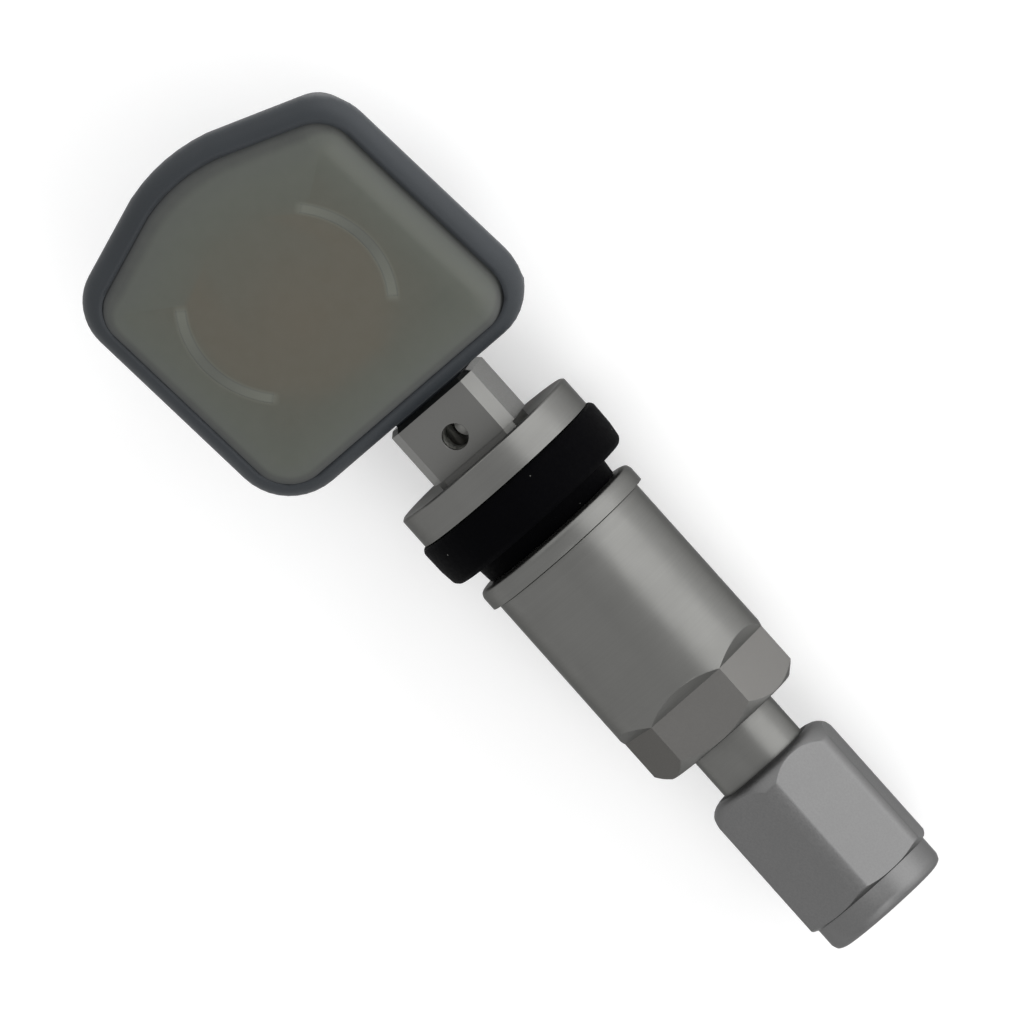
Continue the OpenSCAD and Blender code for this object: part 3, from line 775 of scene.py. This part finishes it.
@dataclass
class Housing:
    """Moulded tray with its cast face, tilted against the valve axis.

    The lean is the face's soft fall towards the rim, and the edge its meniscus at the wall. The slim
    values draw the tray's outer wall in below the rim, where the band follows its draft. The arcs are
    the holder's two ribs.
    """

    length: float = 27.6
    width: float = 27.2
    corner_round: float = 4.7
    rim_round: float = 1.5
    roof_slope: float = 20.5
    apex_round: float = 14.5
    tilt: float = 15.1
    front_x: float = 13.3
    hinge_x: float = -13.476
    axis_depth: float = 6.15
    potting_t: float = 1.2
    smallest_round: float = 0.8
    lean_drop: float = 0.75
    lean_reach: float = 2.7
    lean_power: float = 1.5
    lean_shares: tuple[float, float, float] = (0.12, 0.88, 0.25)
    edge_drop: float = 0.1
    edge_reach: float = 0.16
    slim: float = 0.2
    slim_top: float = -1.7
    slim_bottom: float = -9
    slim_fades: tuple[float, float] = (0.8, 3)
    slim_front_gap: float = 2.5
    band: float = 0.4
    band_draft: float = 0.43
    band_draft_top: float = -2.45
    shade_reach: float = 5.5
    arc_middle: tuple[float, float] = (-0.1, -0.8)
    arc_inner: float = 7.55
    arc_outer: float = 8.35
    arc_span: float = 39.0
    arc_play: float = 0.001
    outline_steps: int = 24
    face_insets: tuple[float, ...] = (
        0.02, 0.05, 0.09, 0.14, 0.2, 0.28, 0.38, 0.5, 0.66, 0.85, 1.1, 1.4, 1.75, 2.1, 2.5, 3.2, 4.2, 5.5,
    )

    def frame(self) -> Matrix:
        """Works out the housing's own frame.

        Returns:
            The frame, in millimetres.
        """
        return (
            Matrix.Translation((self.hinge_x, 0, 0))
            @ Matrix.Rotation(math.radians(self.tilt), 4, "Y")
            @ Matrix.Translation((-self.front_x, 0, self.axis_depth))
        )

    def outline(self, inset: float) -> list[tuple[float, float]]:
        """Draws the rounded plan outline.

        Args:
            inset: How far it is moved in.

        Returns:
            Its points, anticlockwise.
        """
        slope = math.radians(self.roof_slope)
        r = max(self.corner_round - inset, self.smallest_round)
        y = self.width / 2 - inset - r
        x = self.front_x - inset - r
        apex = self.front_x - self.length + self.apex_round
        far = (apex * math.cos(slope) - self.apex_round + inset + r + y * math.sin(slope)) / math.cos(slope)

        def arc(cx: float, cy: float, radius: float, start: float, end: float) -> list[tuple[float, float]]:
            """Returns the points of one rounded stretch, angles in degrees."""
            turns = [math.radians(start + (end - start) * k / steps) for k in range(steps + 1)]
            return [(cx + radius * math.cos(a), cy + radius * math.sin(a)) for a in turns]

        steps, s = self.outline_steps, self.roof_slope
        return (
            arc(x, -y, r, -90, 0) + arc(x, y, r, 0, 90) + arc(far, y, r, 90, 180 - s)
            + arc(apex, 0, self.apex_round - inset, 180 - s, 180 + s)[1:-1] + arc(far, -y, r, 180 + s, 270)
        )

    def cast_face(self) -> BMesh:
        """Builds the cast resin with its soft edge, ring by ring from the wall to the middle.

        Returns:
            The resin in the housing's own frame, without slots.
        """
        bm = bmesh.new()
        start = self.outline(self.rim_round + self.face_insets[0])
        ring = [bm.verts.new((x, y, -self.potting_t)) for x, y in start]
        edges = looped(bm, ring)
        bmesh.ops.edgeloop_fill(bm, edges=edges)
        for inset in self.face_insets:
            made = bmesh.ops.extrude_edge_only(bm, edges=edges)["geom"]
            edges = [g for g in made if isinstance(g, bmesh.types.BMEdge)]
            fresh = {v for e in edges for v in e.verts}
            lean = self.lean_drop * max(0.0, 1 - inset / self.lean_reach) ** self.lean_power
            roll = self.edge_drop * math.exp(-inset / self.edge_reach)
            ring = self.follow(ring, fresh)
            spots = [Vector(point) for point in self.outline(self.rim_round + inset)]
            for i, vert in enumerate(ring):
                run = (spots[(i + 1) % len(spots)] - spots[i - 1]).normalized()
                vert.co = (*spots[i], -lean * self.lean_share(Vector((run.y, -run.x))) - roll)
        top = bmesh.ops.edgeloop_fill(bm, edges=edges)["faces"]
        bmesh.ops.triangulate(bm, faces=top)
        bmesh.ops.recalc_face_normals(bm, faces=bm.faces)
        return bm

    def lean_share(self, outward: Vector) -> float:
        """Returns how strongly the cast face leans down towards an edge with an outward normal."""
        everywhere, side, far_end = self.lean_shares
        return everywhere + side * max(0.0, outward.y) ** 1.5 + far_end * max(0.0, -outward.x) ** 2

    def nearest(self, inset: float, spot: Vector) -> tuple[float, Vector]:
        """Finds the nearest place on an outline.

        Args:
            inset: Inset of the outline.
            spot: Point in the plan.

        Returns:
            The distance to it, and the outline's inward normal there.
        """
        ring = [Vector(point) for point in self.outline(inset)]
        best, inward = 1e9, Vector((0, 0))
        for start, end in zip(ring, ring[1:] + ring[:1]):
            run = end - start
            share = min(1.0, max(0.0, (spot - start).dot(run) / max(run.length_squared, 1e-9)))
            away = (start + run * share - spot).length
            if away < best and run.length > 1e-4:
                best, inward = away, Vector((-run.y, run.x)).normalized()
        return best, inward

    def mark_rim(self, bm: BMesh) -> None:
        """Writes how far each point lies from the edge, as a share of the reach of its shading.

        Args:
            bm: The cast face in the housing's own frame.
        """
        layer = bm.verts.layers.float.new("rim_depth")
        for vert in bm.verts:
            away, inward = self.nearest(self.rim_round, vert.co.xy)
            vert[layer] = min(1.0, away / (self.shade_reach * (1 + max(0.0, inward.x) ** 2)))

    def slimmed(self, bm: BMesh) -> None:
        """Draws the tray's outer wall in a little below its rim, except at the front.

        Args:
            bm: Copy of the tray's mesh, in metres.
        """
        back = self.frame().inverted() @ Matrix.Diagonal((1 / MM,) * 3 + (1,))
        fade_top = self.slim_top + 0.05
        for vert in bm.verts:
            spot = back @ vert.co
            if not self.slim_bottom <= spot.z <= self.slim_top:
                continue
            if spot.x > self.front_x - self.slim_front_gap:
                continue
            away, inward = self.nearest(0, spot.xy)
            if away > self.band_draft * max(0.0, self.band_draft_top - spot.z) + self.band:
                continue
            fade = min(1.0, (fade_top - spot.z) / self.slim_fades[0])
            fade *= min(1.0, (spot.z - self.slim_bottom) / self.slim_fades[1])
            moved = spot + inward.to_3d() * self.slim * fade
            vert.co = (self.frame() @ moved) * MM

    @staticmethod
    def follow(ring: list[BMVert], fresh: set[BMVert]) -> list[BMVert]:
        """Returns the new ring's points in the order of the old ring that they were extruded from."""
        return [next(e.other_vert(v) for e in v.link_edges if e.other_vert(v) in fresh) for v in ring]

    def slot_cutter(self, side: int) -> BMesh:
        """Builds the arc-shaped body of one holder rib.

        Args:
            side: 1 for the rib on the +y side, -1 for the other.

        Returns:
            The body, to take away from the cast face.
        """
        bm = bmesh.new()
        start = math.radians((90 if side > 0 else 270) - self.arc_span)
        inner, outer = self.arc_inner - self.arc_play, self.arc_outer + self.arc_play
        low, high = -self.potting_t - 1, 1
        spots = [(inner, low), (outer, low), (outer, high), (inner, high)]
        looped(bm, [bm.verts.new((r * math.cos(start), r * math.sin(start), z)) for r, z in spots])
        bmesh.ops.spin(
            bm, geom=bm.verts[:] + bm.edges[:], cent=(0, 0, 0), axis=(0, 0, 1),
            angle=math.radians(2 * self.arc_span), steps=42,
        )
        bmesh.ops.holes_fill(bm, edges=[e for e in bm.edges if len(e.link_faces) == 1], sides=0)
        bmesh.ops.recalc_face_normals(bm, faces=bm.faces)
        bmesh.ops.translate(bm, vec=(*self.arc_middle, 0), verts=bm.verts)
        return bm

    def build(self) -> None:
        """Builds and dresses the tray and the cast face."""
        tray = node_copy("housing_tray")
        self.slimmed(tray)
        shell = FINISHES["shell"].make()
        finished(tray, "moulded_tray", Body.SENSOR, [shell], ("housing_tray",), 30, 1.0)
        face = combined(self.cast_face(), [(self.slot_cutter(side), Cut.TAKE) for side in (1, -1)])
        self.mark_rim(face)
        turned_round(face, self.frame())
        middle = tuple(self.frame() @ Vector((*self.arc_middle, 0)))
        rib_r, rib_reach = (self.arc_inner + self.arc_outer) / 2, math.sin(math.radians(self.arc_span))
        resin = CastResin("cast_resin", middle, self.tilt, rib_r, rib_reach).make()
        finished(face, "cast_face", Body.SENSOR, [resin], ("potting",), 40)
        ribs = frame["nodes"]["cell_holder"].data
        ribs.materials.clear()
        ribs.materials.append(CastResin("rib_resin", middle, self.tilt, rib_r, rib_reach).make())


@dataclass
class Stem:
    """Valve stem: milled block with its cross hole, flange disc, shank, neck and threaded mouth.

    The names ending in _x are stations on the valve axis, and the ones ending in _r are radii.
    """

    block: tuple[float, float, float] = (5.2, 8.2, 5.9)
    block_x: float = -11.92
    long_chamfer: float = 0.9
    end_chamfer: float = 0.35
    root_inset: float = 0.3
    root_len: float = 1.3
    flange_x: float = -6.47
    flange_r: float = 8.05
    dish_r: float = 4.1
    dish: float = 0.6
    seat_x: float = -3.77
    shank_r: float = 4.1
    thread_x: float = 1.6
    thread_pitch: float = 0.75
    neck_x: float = 14.05
    neck_r: float = 3.77
    mouth_start_x: float = 25.9
    mouth_r: float = 3.85
    mouth_x: float = 36.73
    mouth_chamfer: float = 0.6
    hole_x: float = -8.65
    hole_r: float = 1.02
    hole_pitch: float = 0.45
    hole_thread: float = -0.16
    hole_floor: float = 0.3
    hole_dish: float = 0.2
    tap_r: float = 1.5
    tap_x: float = -7.52
    air_r: float = 1.1
    core_x: float = 18.03
    core_r: float = 1.95
    cone_x: float = 29.43
    wide_x: float = 30.63
    wide_r: float = 2.55

    def milled_block(self) -> BMesh:
        """Builds the block with its long chamfers, end chamfer and relieved root.

        Returns:
            The block.
        """
        bm = bmesh.new()
        bmesh.ops.create_cube(bm, size=1)
        bmesh.ops.scale(bm, vec=self.block, verts=bm.verts)
        bmesh.ops.translate(bm, vec=(self.block_x + self.block[0] / 2, 0, 0), verts=bm.verts)
        long_edges = [e for e in bm.edges if abs((e.verts[0].co - e.verts[1].co).x) > 1]
        bevelled(bm, long_edges, self.long_chamfer)
        bm.faces.ensure_lookup_table()
        end = min(bm.faces, key=lambda f: f.calc_center_median().x)
        bevelled(bm, end.edges[:], self.end_chamfer)
        root = max(bm.faces, key=lambda f: f.calc_center_median().x)
        bmesh.ops.inset_region(bm, faces=[root], thickness=self.root_inset)
        grown = bmesh.ops.extrude_face_region(bm, geom=[root])["geom"]
        bmesh.ops.delete(bm, geom=[root], context="FACES")
        bmesh.ops.translate(bm, vec=(self.root_len, 0, 0), verts=points_of(grown))
        bmesh.ops.recalc_face_normals(bm, faces=bm.faces)
        return bm

    def turned_part(self) -> BMesh:
        """Builds the flange disc, shank, neck and threaded mouth as one turned body.

        Returns:
            The body.
        """
        mouth_end = self.mouth_x - self.mouth_chamfer
        mouth = [(self.mouth_r, x) for x in stations(self.mouth_start_x + 0.3, mouth_end, 0.1)]
        shank = [(self.shank_r, x) for x in stations(self.thread_x, self.neck_x - 0.33, 0.12)]
        bm = spun(
            [
                (0, self.flange_x + self.dish), (self.dish_r, self.flange_x + self.dish),
                (self.flange_r - 0.2, self.flange_x), (self.flange_r, self.flange_x + 0.16),
                (self.flange_r, self.seat_x - 0.1), (self.flange_r - 0.1, self.seat_x),
                (self.shank_r, self.seat_x), *shank, (self.neck_r, self.neck_x),
                (self.neck_r, self.mouth_start_x - 0.2), *mouth,
                (self.mouth_r - self.mouth_chamfer, self.mouth_x), (0, self.mouth_x),
            ],
            {2: 0.06, 3: 0.06},
        )
        threaded(bm, self.thread_x, self.neck_x - 0.4, self.shank_r, self.thread_pitch)
        threaded(bm, self.mouth_start_x + 0.4, mouth_end, self.mouth_r, VALVE_PITCH)
        return bm

    def air_way(self) -> BMesh:
        """Builds the bore from the block's end to the mouth.

        Returns:
            The bore, as a body to take away.
        """
        start, end = self.block_x - 1, self.mouth_x + 1
        return spun(
            [
                (0, start), (self.tap_r, start), (self.tap_r, self.tap_x), (self.air_r, self.tap_x),
                (self.air_r, self.core_x), (self.core_r, self.core_x), (self.core_r, self.cone_x),
                (self.wide_r, self.wide_x), (self.wide_r, end), (0, end),
            ],
            steps=96,
        )

    def cross_hole(self) -> BMesh:
        """Builds the tapped cross hole with its dished floor and countersink.

        Returns:
            The hole, as a body to take away.
        """
        top, floor = self.block[2] / 2, -self.tap_r - self.hole_floor
        sunk_r = self.hole_r + 0.12
        dome = [(r, floor + self.hole_dish * r * r) for r in stations(0, self.hole_r, 0.17)]
        wall = [(self.hole_r, z) for z in stations(0.6, top - 0.02, 0.04)]
        bm = spun([*dome, *wall, (sunk_r, top + 0.1), (sunk_r, top + 1), (0, top + 1)], steps=96)
        threaded(bm, 0.7, top - 0.1, self.hole_r, self.hole_pitch, self.hole_thread)
        turn = Matrix.Translation((self.hole_x, 0, 0)) @ Matrix.Rotation(-math.pi / 2, 4, "Y")
        return turned_round(bm, turn)

    def build(self) -> None:
        """Builds and dresses the stem."""
        stem = combined(self.turned_part(), [
            (self.milled_block(), Cut.ADD), (self.air_way(), Cut.TAKE), (self.cross_hole(), Cut.TAKE),
        ])
        # Painted light: faces in the cross hole and the bore take the much lighter cut finish, so that the
        # hole's floor shows bright.
        for face in stem.faces:
            spot = face.calc_center_median()
            in_hole = math.hypot(spot.x - self.hole_x, spot.y) < self.hole_r + 0.03
            in_hole = in_hole and abs(spot.z) < self.block[2] / 2 - 0.05
            in_bore = math.hypot(spot.y, spot.z) < self.wide_r + 0.05
            in_bore = in_bore and self.block_x + 0.01 < spot.x < self.mouth_x - 0.01
            on_block = spot.x < self.block_x + self.block[0] + 0.01
            face.material_index = 2 if in_hole or in_bore else 1 if on_block else 0
        looks = [FINISHES[name].make() for name in ("stem", "milled", "cut")]
        finished(stem, "turned_stem", Body.SENSOR, looks, ("valve_stem",), 24)


@dataclass
class Grommet:
    """Rubber seal between the wheel's rim and the stem's flange disc."""

    outer_r: float = 8.45
    thickness: float = 3.77
    spigot_r: float = 6.25
    spigot_len: float = 1.4
    spigot_taper: float = 0.15
    bore_r: float = 4.12
    flank: Profile = ((0.22, -3.77), (0, -3.47), (0.04, -1.6), (0.2, -0.35), (0.55, 0))

    def build(self) -> None:
        """Builds and dresses the seal, whose flank is given as (depth below the outer radius, station)."""
        flank = [(self.outer_r - depth, x) for depth, x in self.flank]
        bm = spun(
            [
                (self.bore_r, -self.thickness), *flank, (self.spigot_r + 0.1, 0),
                (self.spigot_r - 0.02, 0.12), (self.spigot_r - self.spigot_taper, self.spigot_len),
                (self.bore_r, self.spigot_len),
            ],
            {1: 0.1, 2: 0.12, 4: 0.15, 5: 0.12, 8: 0.08},
        )
        finished(bm, "rubber_seal", Body.SENSOR, [FINISHES["grommet"].make()], ("grommet",), 50)


@dataclass
class NutSet:
    """Long collar nut with its thrust washer."""

    washer_x: float = 1.45
    washer_r: float = 7.35
    washer_t: float = 1.65
    nut_x: float = 3.15
    nut_end: float = 21.43
    nut_r: float = 6.83
    hex_x: float = 17.21
    hex_r: float = 6.86
    hex_rise: float = 0.7
    chamfer: tuple[float, float] = (0.93, 5.85)
    flats: float = 11.88
    run_out: float = 1.4
    turn: float = -7.5
    edge_break: float = 0.03
    bore_r: float = 4.15
    root_gap: float = 0.05
    neck_bore_r: float = 3.87
    thread_end: float = 14.4
    cup_r: float = 5.2
    cup_depths: tuple[float, float] = (3.2, 3.6)
    milled_reach: tuple[float, float] = (5, 0.02)

    def washer(self) -> None:
        """Builds and dresses the washer."""
        back = self.washer_x + self.washer_t
        bm = spun(
            [
                (self.bore_r, self.washer_x), (self.washer_r - 0.5, self.washer_x),
                (self.washer_r - 0.15, self.washer_x + 0.15), (self.washer_r, self.washer_x + 0.5),
                (self.washer_r, back), (self.bore_r, back),
            ],
            {1: 0.15, 2: 0.12, 3: 0.1, 4: 0.03},
        )
        finished(bm, "thrust_ring", Body.WASHER, [FINISHES["nut"].make()], ("thrust_washer",), 30)

    def flat_cutter(self, number: int) -> BMesh:
        """Builds the body that mills one flat with its sloped run-out.

        Args:
            number: Number of the flat, from 0 to 5.

        Returns:
            The body, to take away from the nut.
        """
        reach, half, end = 9.0, self.flats / 2, self.nut_end + 1
        top = half + self.run_out
        bm = bmesh.new()
        spots = [(self.hex_x, half), (end, half), (end, top), (self.hex_x - self.run_out, top)]
        side = bm.faces.new([bm.verts.new((x, -reach, z)) for x, z in spots])
        far = points_of(bmesh.ops.extrude_face_region(bm, geom=[side])["geom"])
        bmesh.ops.translate(bm, vec=(0, 2 * reach, 0), verts=far)
        bmesh.ops.recalc_face_normals(bm, faces=bm.faces)
        return turned_round(bm, Matrix.Rotation(math.radians(self.turn + 60 * number), 4, "X"))

    def nut(self) -> None:
        """Builds and dresses the nut."""
        root = self.bore_r + self.root_gap
        cup_edge, cup_end = (self.nut_x + depth for depth in self.cup_depths)
        wall = [(root, x) for x in stations(self.thread_end, cup_end, 0.125)]
        body = spun(
            [
                (self.cup_r, self.nut_x), (self.nut_r - 0.04, self.nut_x), (self.nut_r, self.nut_x + 0.04),
                (self.hex_r, self.hex_x - self.hex_rise), (self.hex_r, self.nut_end - self.chamfer[0]),
                (self.chamfer[1], self.nut_end), (self.neck_bore_r, self.nut_end),
                (self.neck_bore_r, self.thread_end), *wall, (self.cup_r, cup_edge),
            ],
            {3: 0.5, 5: 0.06},
            steps=240,
        )
        body = combined(body, [(self.flat_cutter(k), Cut.TAKE) for k in range(6)])
        softened(body, self.edge_break, 2, 24)
        inside, skin = self.milled_reach
        for face in body.faces:
            spot = face.calc_center_median()
            milled = spot.x > self.hex_x - 2 and inside < spot.yz.length < self.hex_r - skin
            face.material_index = 1 if milled and face.normal.x < 0.5 else 0
        looks = [FINISHES[name].make() for name in ("nut", "flats")]
        finished(body, "collar_nut_shell", Body.NUT, looks, ("collar_nut",), 24)


@dataclass
class DustCap:
    """Hexagonal dust cap with a domed mouth and a round collar at its end."""

    start: float = 25.08
    end: float = 39.38
    flats: float = 10.8
    turn: float = -10.2
    collar_r: float = 5.22
    bore_r: float = 3.9
    bore_step: float = 0.4
    bore_thread: float = -0.3
    thread_len: float = 9
    floor_x: float = 37.58
    edge_round: float = 0.75
    softening: float = 0.16
    dome: Profile = ((-0.95, 0), (-0.55, 0.12), (-0.25, 0.3), (-0.02, 0.52), (0.18, 0.78), (0.5, 1.3))
    shoulder: Profile = ((0.35, 2.4), (0, 2.25))

    def hexagon(self) -> BMesh:
        """Builds the hexagonal bar with rounded edges, domed at the mouth and coned at the collar.

        The dome is given as (radius beyond the flats, distance from the start), and the shoulder as
        (radius beyond the collar, distance from the end).

        Returns:
            The bar.
        """
        half, corner = self.flats / 2, self.flats / math.sqrt(3)
        bm = bmesh.new()
        length = self.end - 1 - self.start
        bmesh.ops.create_cone(bm, cap_ends=True, segments=6, radius1=corner, radius2=corner, depth=length)
        rails = [e for e in bm.edges if abs((e.verts[0].co - e.verts[1].co).z) > 1]
        bevelled(bm, rails, self.edge_round, 8)
        place = (
            Matrix.Translation(((self.start + self.end - 1) / 2, 0, 0))
            @ Matrix.Rotation(math.radians(self.turn + 30), 4, "X") @ Matrix.Rotation(math.pi / 2, 4, "Y")
        )
        turned_round(bm, place)
        beyond = corner + 0.05
        form = spun([
            (0, self.start), *((half + off, self.start + x) for off, x in self.dome),
            (beyond, self.start + 2.3), (beyond, self.end - 3.0), (beyond - 0.15, self.end - 2.75),
            *((self.collar_r + off, self.end - x) for off, x in self.shoulder),
            (0, self.end - self.shoulder[-1][1]),
        ])
        return combined(bm, [(form, Cut.KEEP)])

    def collar(self) -> BMesh:
        """Builds the round collar.

        Returns:
            The collar.
        """
        return spun(
            [
                (0, self.end - 3.2), (self.collar_r, self.end - 3.2), (self.collar_r, self.end - 0.7),
                (self.collar_r - 0.2, self.end - 0.22), (self.collar_r - 0.7, self.end), (0, self.end),
            ],
            {2: 0.15, 3: 0.15, 4: 0.2},
        )

    def bore(self) -> BMesh:
        """Builds the threaded bore with its countersink.

        Returns:
            The bore, as a body to take away.
        """
        thread_end, sunk_r = self.start + self.thread_len, self.bore_r + self.bore_step
        wall = [(self.bore_r, x) for x in stations(self.start + 0.5, thread_end, 0.13)]
        bm = spun([
            (0, self.start - 1), (sunk_r, self.start - 1), (sunk_r, self.start), *wall,
            (self.bore_r, self.floor_x), (0, self.floor_x),
        ], steps=144)
        threaded(bm, self.start + 0.9, thread_end, self.bore_r, VALVE_PITCH, self.bore_thread)
        return bm

    def build(self) -> None:
        """Builds and dresses the cap."""
        body = combined(self.hexagon(), [(self.collar(), Cut.ADD), (self.bore(), Cut.TAKE)])
        softened(body, self.softening, 3, 24)
        finished(body, "dust_cap_shell", Body.CAP, [FINISHES["cap"].make()], ("valve_cap",), 30)


@dataclass
class CoreCoil:
    """Coil that closes the valve core: it shortens as the pin is pressed."""

    foot_x: float = 23.13
    length: float = 5.4
    travel: float = 1.2

    def build(self) -> None:
        """Takes the coil's own solid over."""
        coil, wire = node_copy("core_spring"), FINISHES["spring"].make()
        piece = finished(coil, "closing_coil", Body.SENSOR, [wire], ("core_spring",), 40, 1.0)
        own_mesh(piece)


def dress_nodes() -> None:
    """Gives every node that keeps its own shape its finish."""
    slots = {row["node"]: row["material_slot"] for row in frame["record"]["subparts"]}
    made: dict[str, bpy.types.Material] = {}
    for name, piece in frame["nodes"].items():
        slot = slots[name]
        if slot not in FINISHES:
            continue
        if slot not in made:
            made[slot] = FINISHES[slot].make()
        piece.data.materials.clear()
        piece.data.materials.append(made[slot])
        LOG.info("%s: %s", name, made[slot].name)


@dataclass
class Softbox:
    """Plain soft lamp that stands in a given direction from the object."""

    name: str
    towards: Vector
    size: tuple[float, float]
    power: float
    distance: float = 0.5

    def build(self, target: Vector) -> None:
        """Sets the lamp up.

        Args:
            target: Point that it faces.
        """
        lamp = bpy.data.lights.new(self.name, "AREA")
        lamp.shape, lamp.size, lamp.size_y = "RECTANGLE", *self.size
        lamp.energy = self.power
        holder = placed(self.name, lamp)
        away = self.towards.normalized()
        holder.location = target + away * self.distance
        holder.rotation_euler = away.to_track_quat("Z", "Y").to_euler()


@dataclass
class Studio:
    """Camera at the photograph's angle, a pale floor and soft lamps."""

    right: Vector = field(default_factory=lambda: Vector((0.6648, 0.7215, -0.1944)))
    up: Vector = field(default_factory=lambda: Vector((-0.7448, 0.6197, -0.2470)))
    back: Vector = field(default_factory=lambda: Vector((-0.0576, 0.3090, 0.9494)))
    picture_mm: float = 76.42
    centre_mm: tuple[float, float] = (-2.097, 0.142)
    camera_distance: float = 0.6
    floor_r: float = 4
    floor_gap: float = 0.00002
    floor_glow: float = 0.18
    world_grey: float = 0.75
    key_angle: float = 58
    fill_angle: float = 65
    near_size: tuple[float, float] = (0.2, 0.073)
    near_distance: float = 0.062
    near_strength: float = 1.5
    near_x: float = 0.002
    near_lift: float = 0.001

    def camera(self) -> None:
        """Makes the camera."""
        lens = bpy.data.cameras.new("camera")
        lens.type = "ORTHO"
        lens.ortho_scale = self.picture_mm * MM
        lens.clip_start, lens.clip_end = 0.01, 10
        holder = placed("camera", lens)
        aim = (self.right * self.centre_mm[0] + self.up * self.centre_mm[1]) * MM
        axes = Matrix((self.right, self.up, self.back)).transposed().to_4x4()
        holder.matrix_world = Matrix.Translation(aim + self.back * self.camera_distance) @ axes
        bpy.context.scene.camera = holder

    def floor(self) -> None:
        """Makes the pale floor, just under the lowest point.

        It glows a little for the camera, so that it shows white, and it is clear when seen from below.
        """
        bm = bmesh.new()
        bmesh.ops.create_circle(bm, cap_ends=True, segments=96, radius=self.floor_r)
        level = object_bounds()[0].z - self.floor_gap
        bmesh.ops.translate(bm, vec=(0, 0, level), verts=bm.verts)
        floor = placed("floor", meshed(bm, "floor"))
        bench = NodeBench("pale_floor")
        bench.set(Base_Color=(0.9, 0.9, 0.9), Roughness=0.9, Specular_IOR_Level=0.1)
        path = bench.add("ShaderNodeLightPath").outputs
        seen = path["Is Camera Ray"]
        for kind in ("Is Glossy Ray", "Is Transmission Ray"):
            seen = bench.math("ADD", seen, path[kind], clamp=True)
        glow = bench.math("MULTIPLY", seen, self.floor_glow)
        bench.set(Emission_Color=(1.0, 1.0, 1.0), Emission_Strength=glow)
        behind = bench.add("ShaderNodeNewGeometry").outputs["Backfacing"]
        mix = bench.add("ShaderNodeMixShader")
        clear = bench.add("ShaderNodeBsdfTransparent")
        for socket, source in zip(mix.inputs, (behind, bench.shader.outputs[0], clear.outputs[0])):
            bench.links.new(source, socket)
        bench.links.new(mix.outputs[0], bench.nodes["Material Output"].inputs["Surface"])
        floor.data.materials.append(bench.material)
        floor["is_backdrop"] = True

    def lamps(self) -> None:
        """Sets up the world and the soft lamps."""
        world = bpy.data.worlds.new("studio")
        bpy.context.scene.world = world
        world.use_nodes = True
        sky = world.node_tree.nodes["Background"]
        sky.inputs["Color"].default_value = (self.world_grey,) * 3 + (1,)
        sky.inputs["Strength"].default_value = 1.0
        across = Vector((0, 0.951, -0.3095))
        centre = Vector((0.005, 0, 0))
        key, fill = (
            self.back * math.cos(math.radians(angle)) + across * math.sin(math.radians(angle))
            for angle in (self.key_angle, -self.fill_angle)
        )
        for box in (
            Softbox("key_box", key, (0.6, 0.6), 0.12),
            Softbox("fill_box", fill, (0.8, 0.8), 0.3),
            Softbox("rear_box", Vector((-0.85, 0, 0.53)), (0.4, 0.4), 0.35),
            Softbox("front_box", Vector((0.85, 0, 0.53)), (0.4, 0.4), 0.35),
            Softbox("streak_box", Vector((0.534, 0.22, 0.817)), (0.2, 0.2), 0.26),
        ):
            box.build(centre)
        wide, tall = self.near_size
        power = self.near_strength * math.pi * wide * tall
        near = Softbox("near_box", Vector((0, 1, 0)), self.near_size, power, self.near_distance)
        near.build(Vector((self.near_x, 0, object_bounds()[0].z + self.near_lift + tall / 2)))

    def build(self) -> None:
        """Builds the whole studio."""
        self.camera()
        self.floor()
        self.lamps()
        bpy.context.scene.view_settings.view_transform = "Standard"


def main() -> None:
    """Builds every sub-assembly in order, then the studio."""
    logging.basicConfig(level=logging.INFO, format="%(message)s")
    dress_nodes()
    Housing().build()
    Stem().build()
    Grommet().build()
    nuts = NutSet()
    nuts.washer()
    nuts.nut()
    DustCap().build()
    CoreCoil().build()
    Studio().build()


if __name__ == "__main__":
    main()
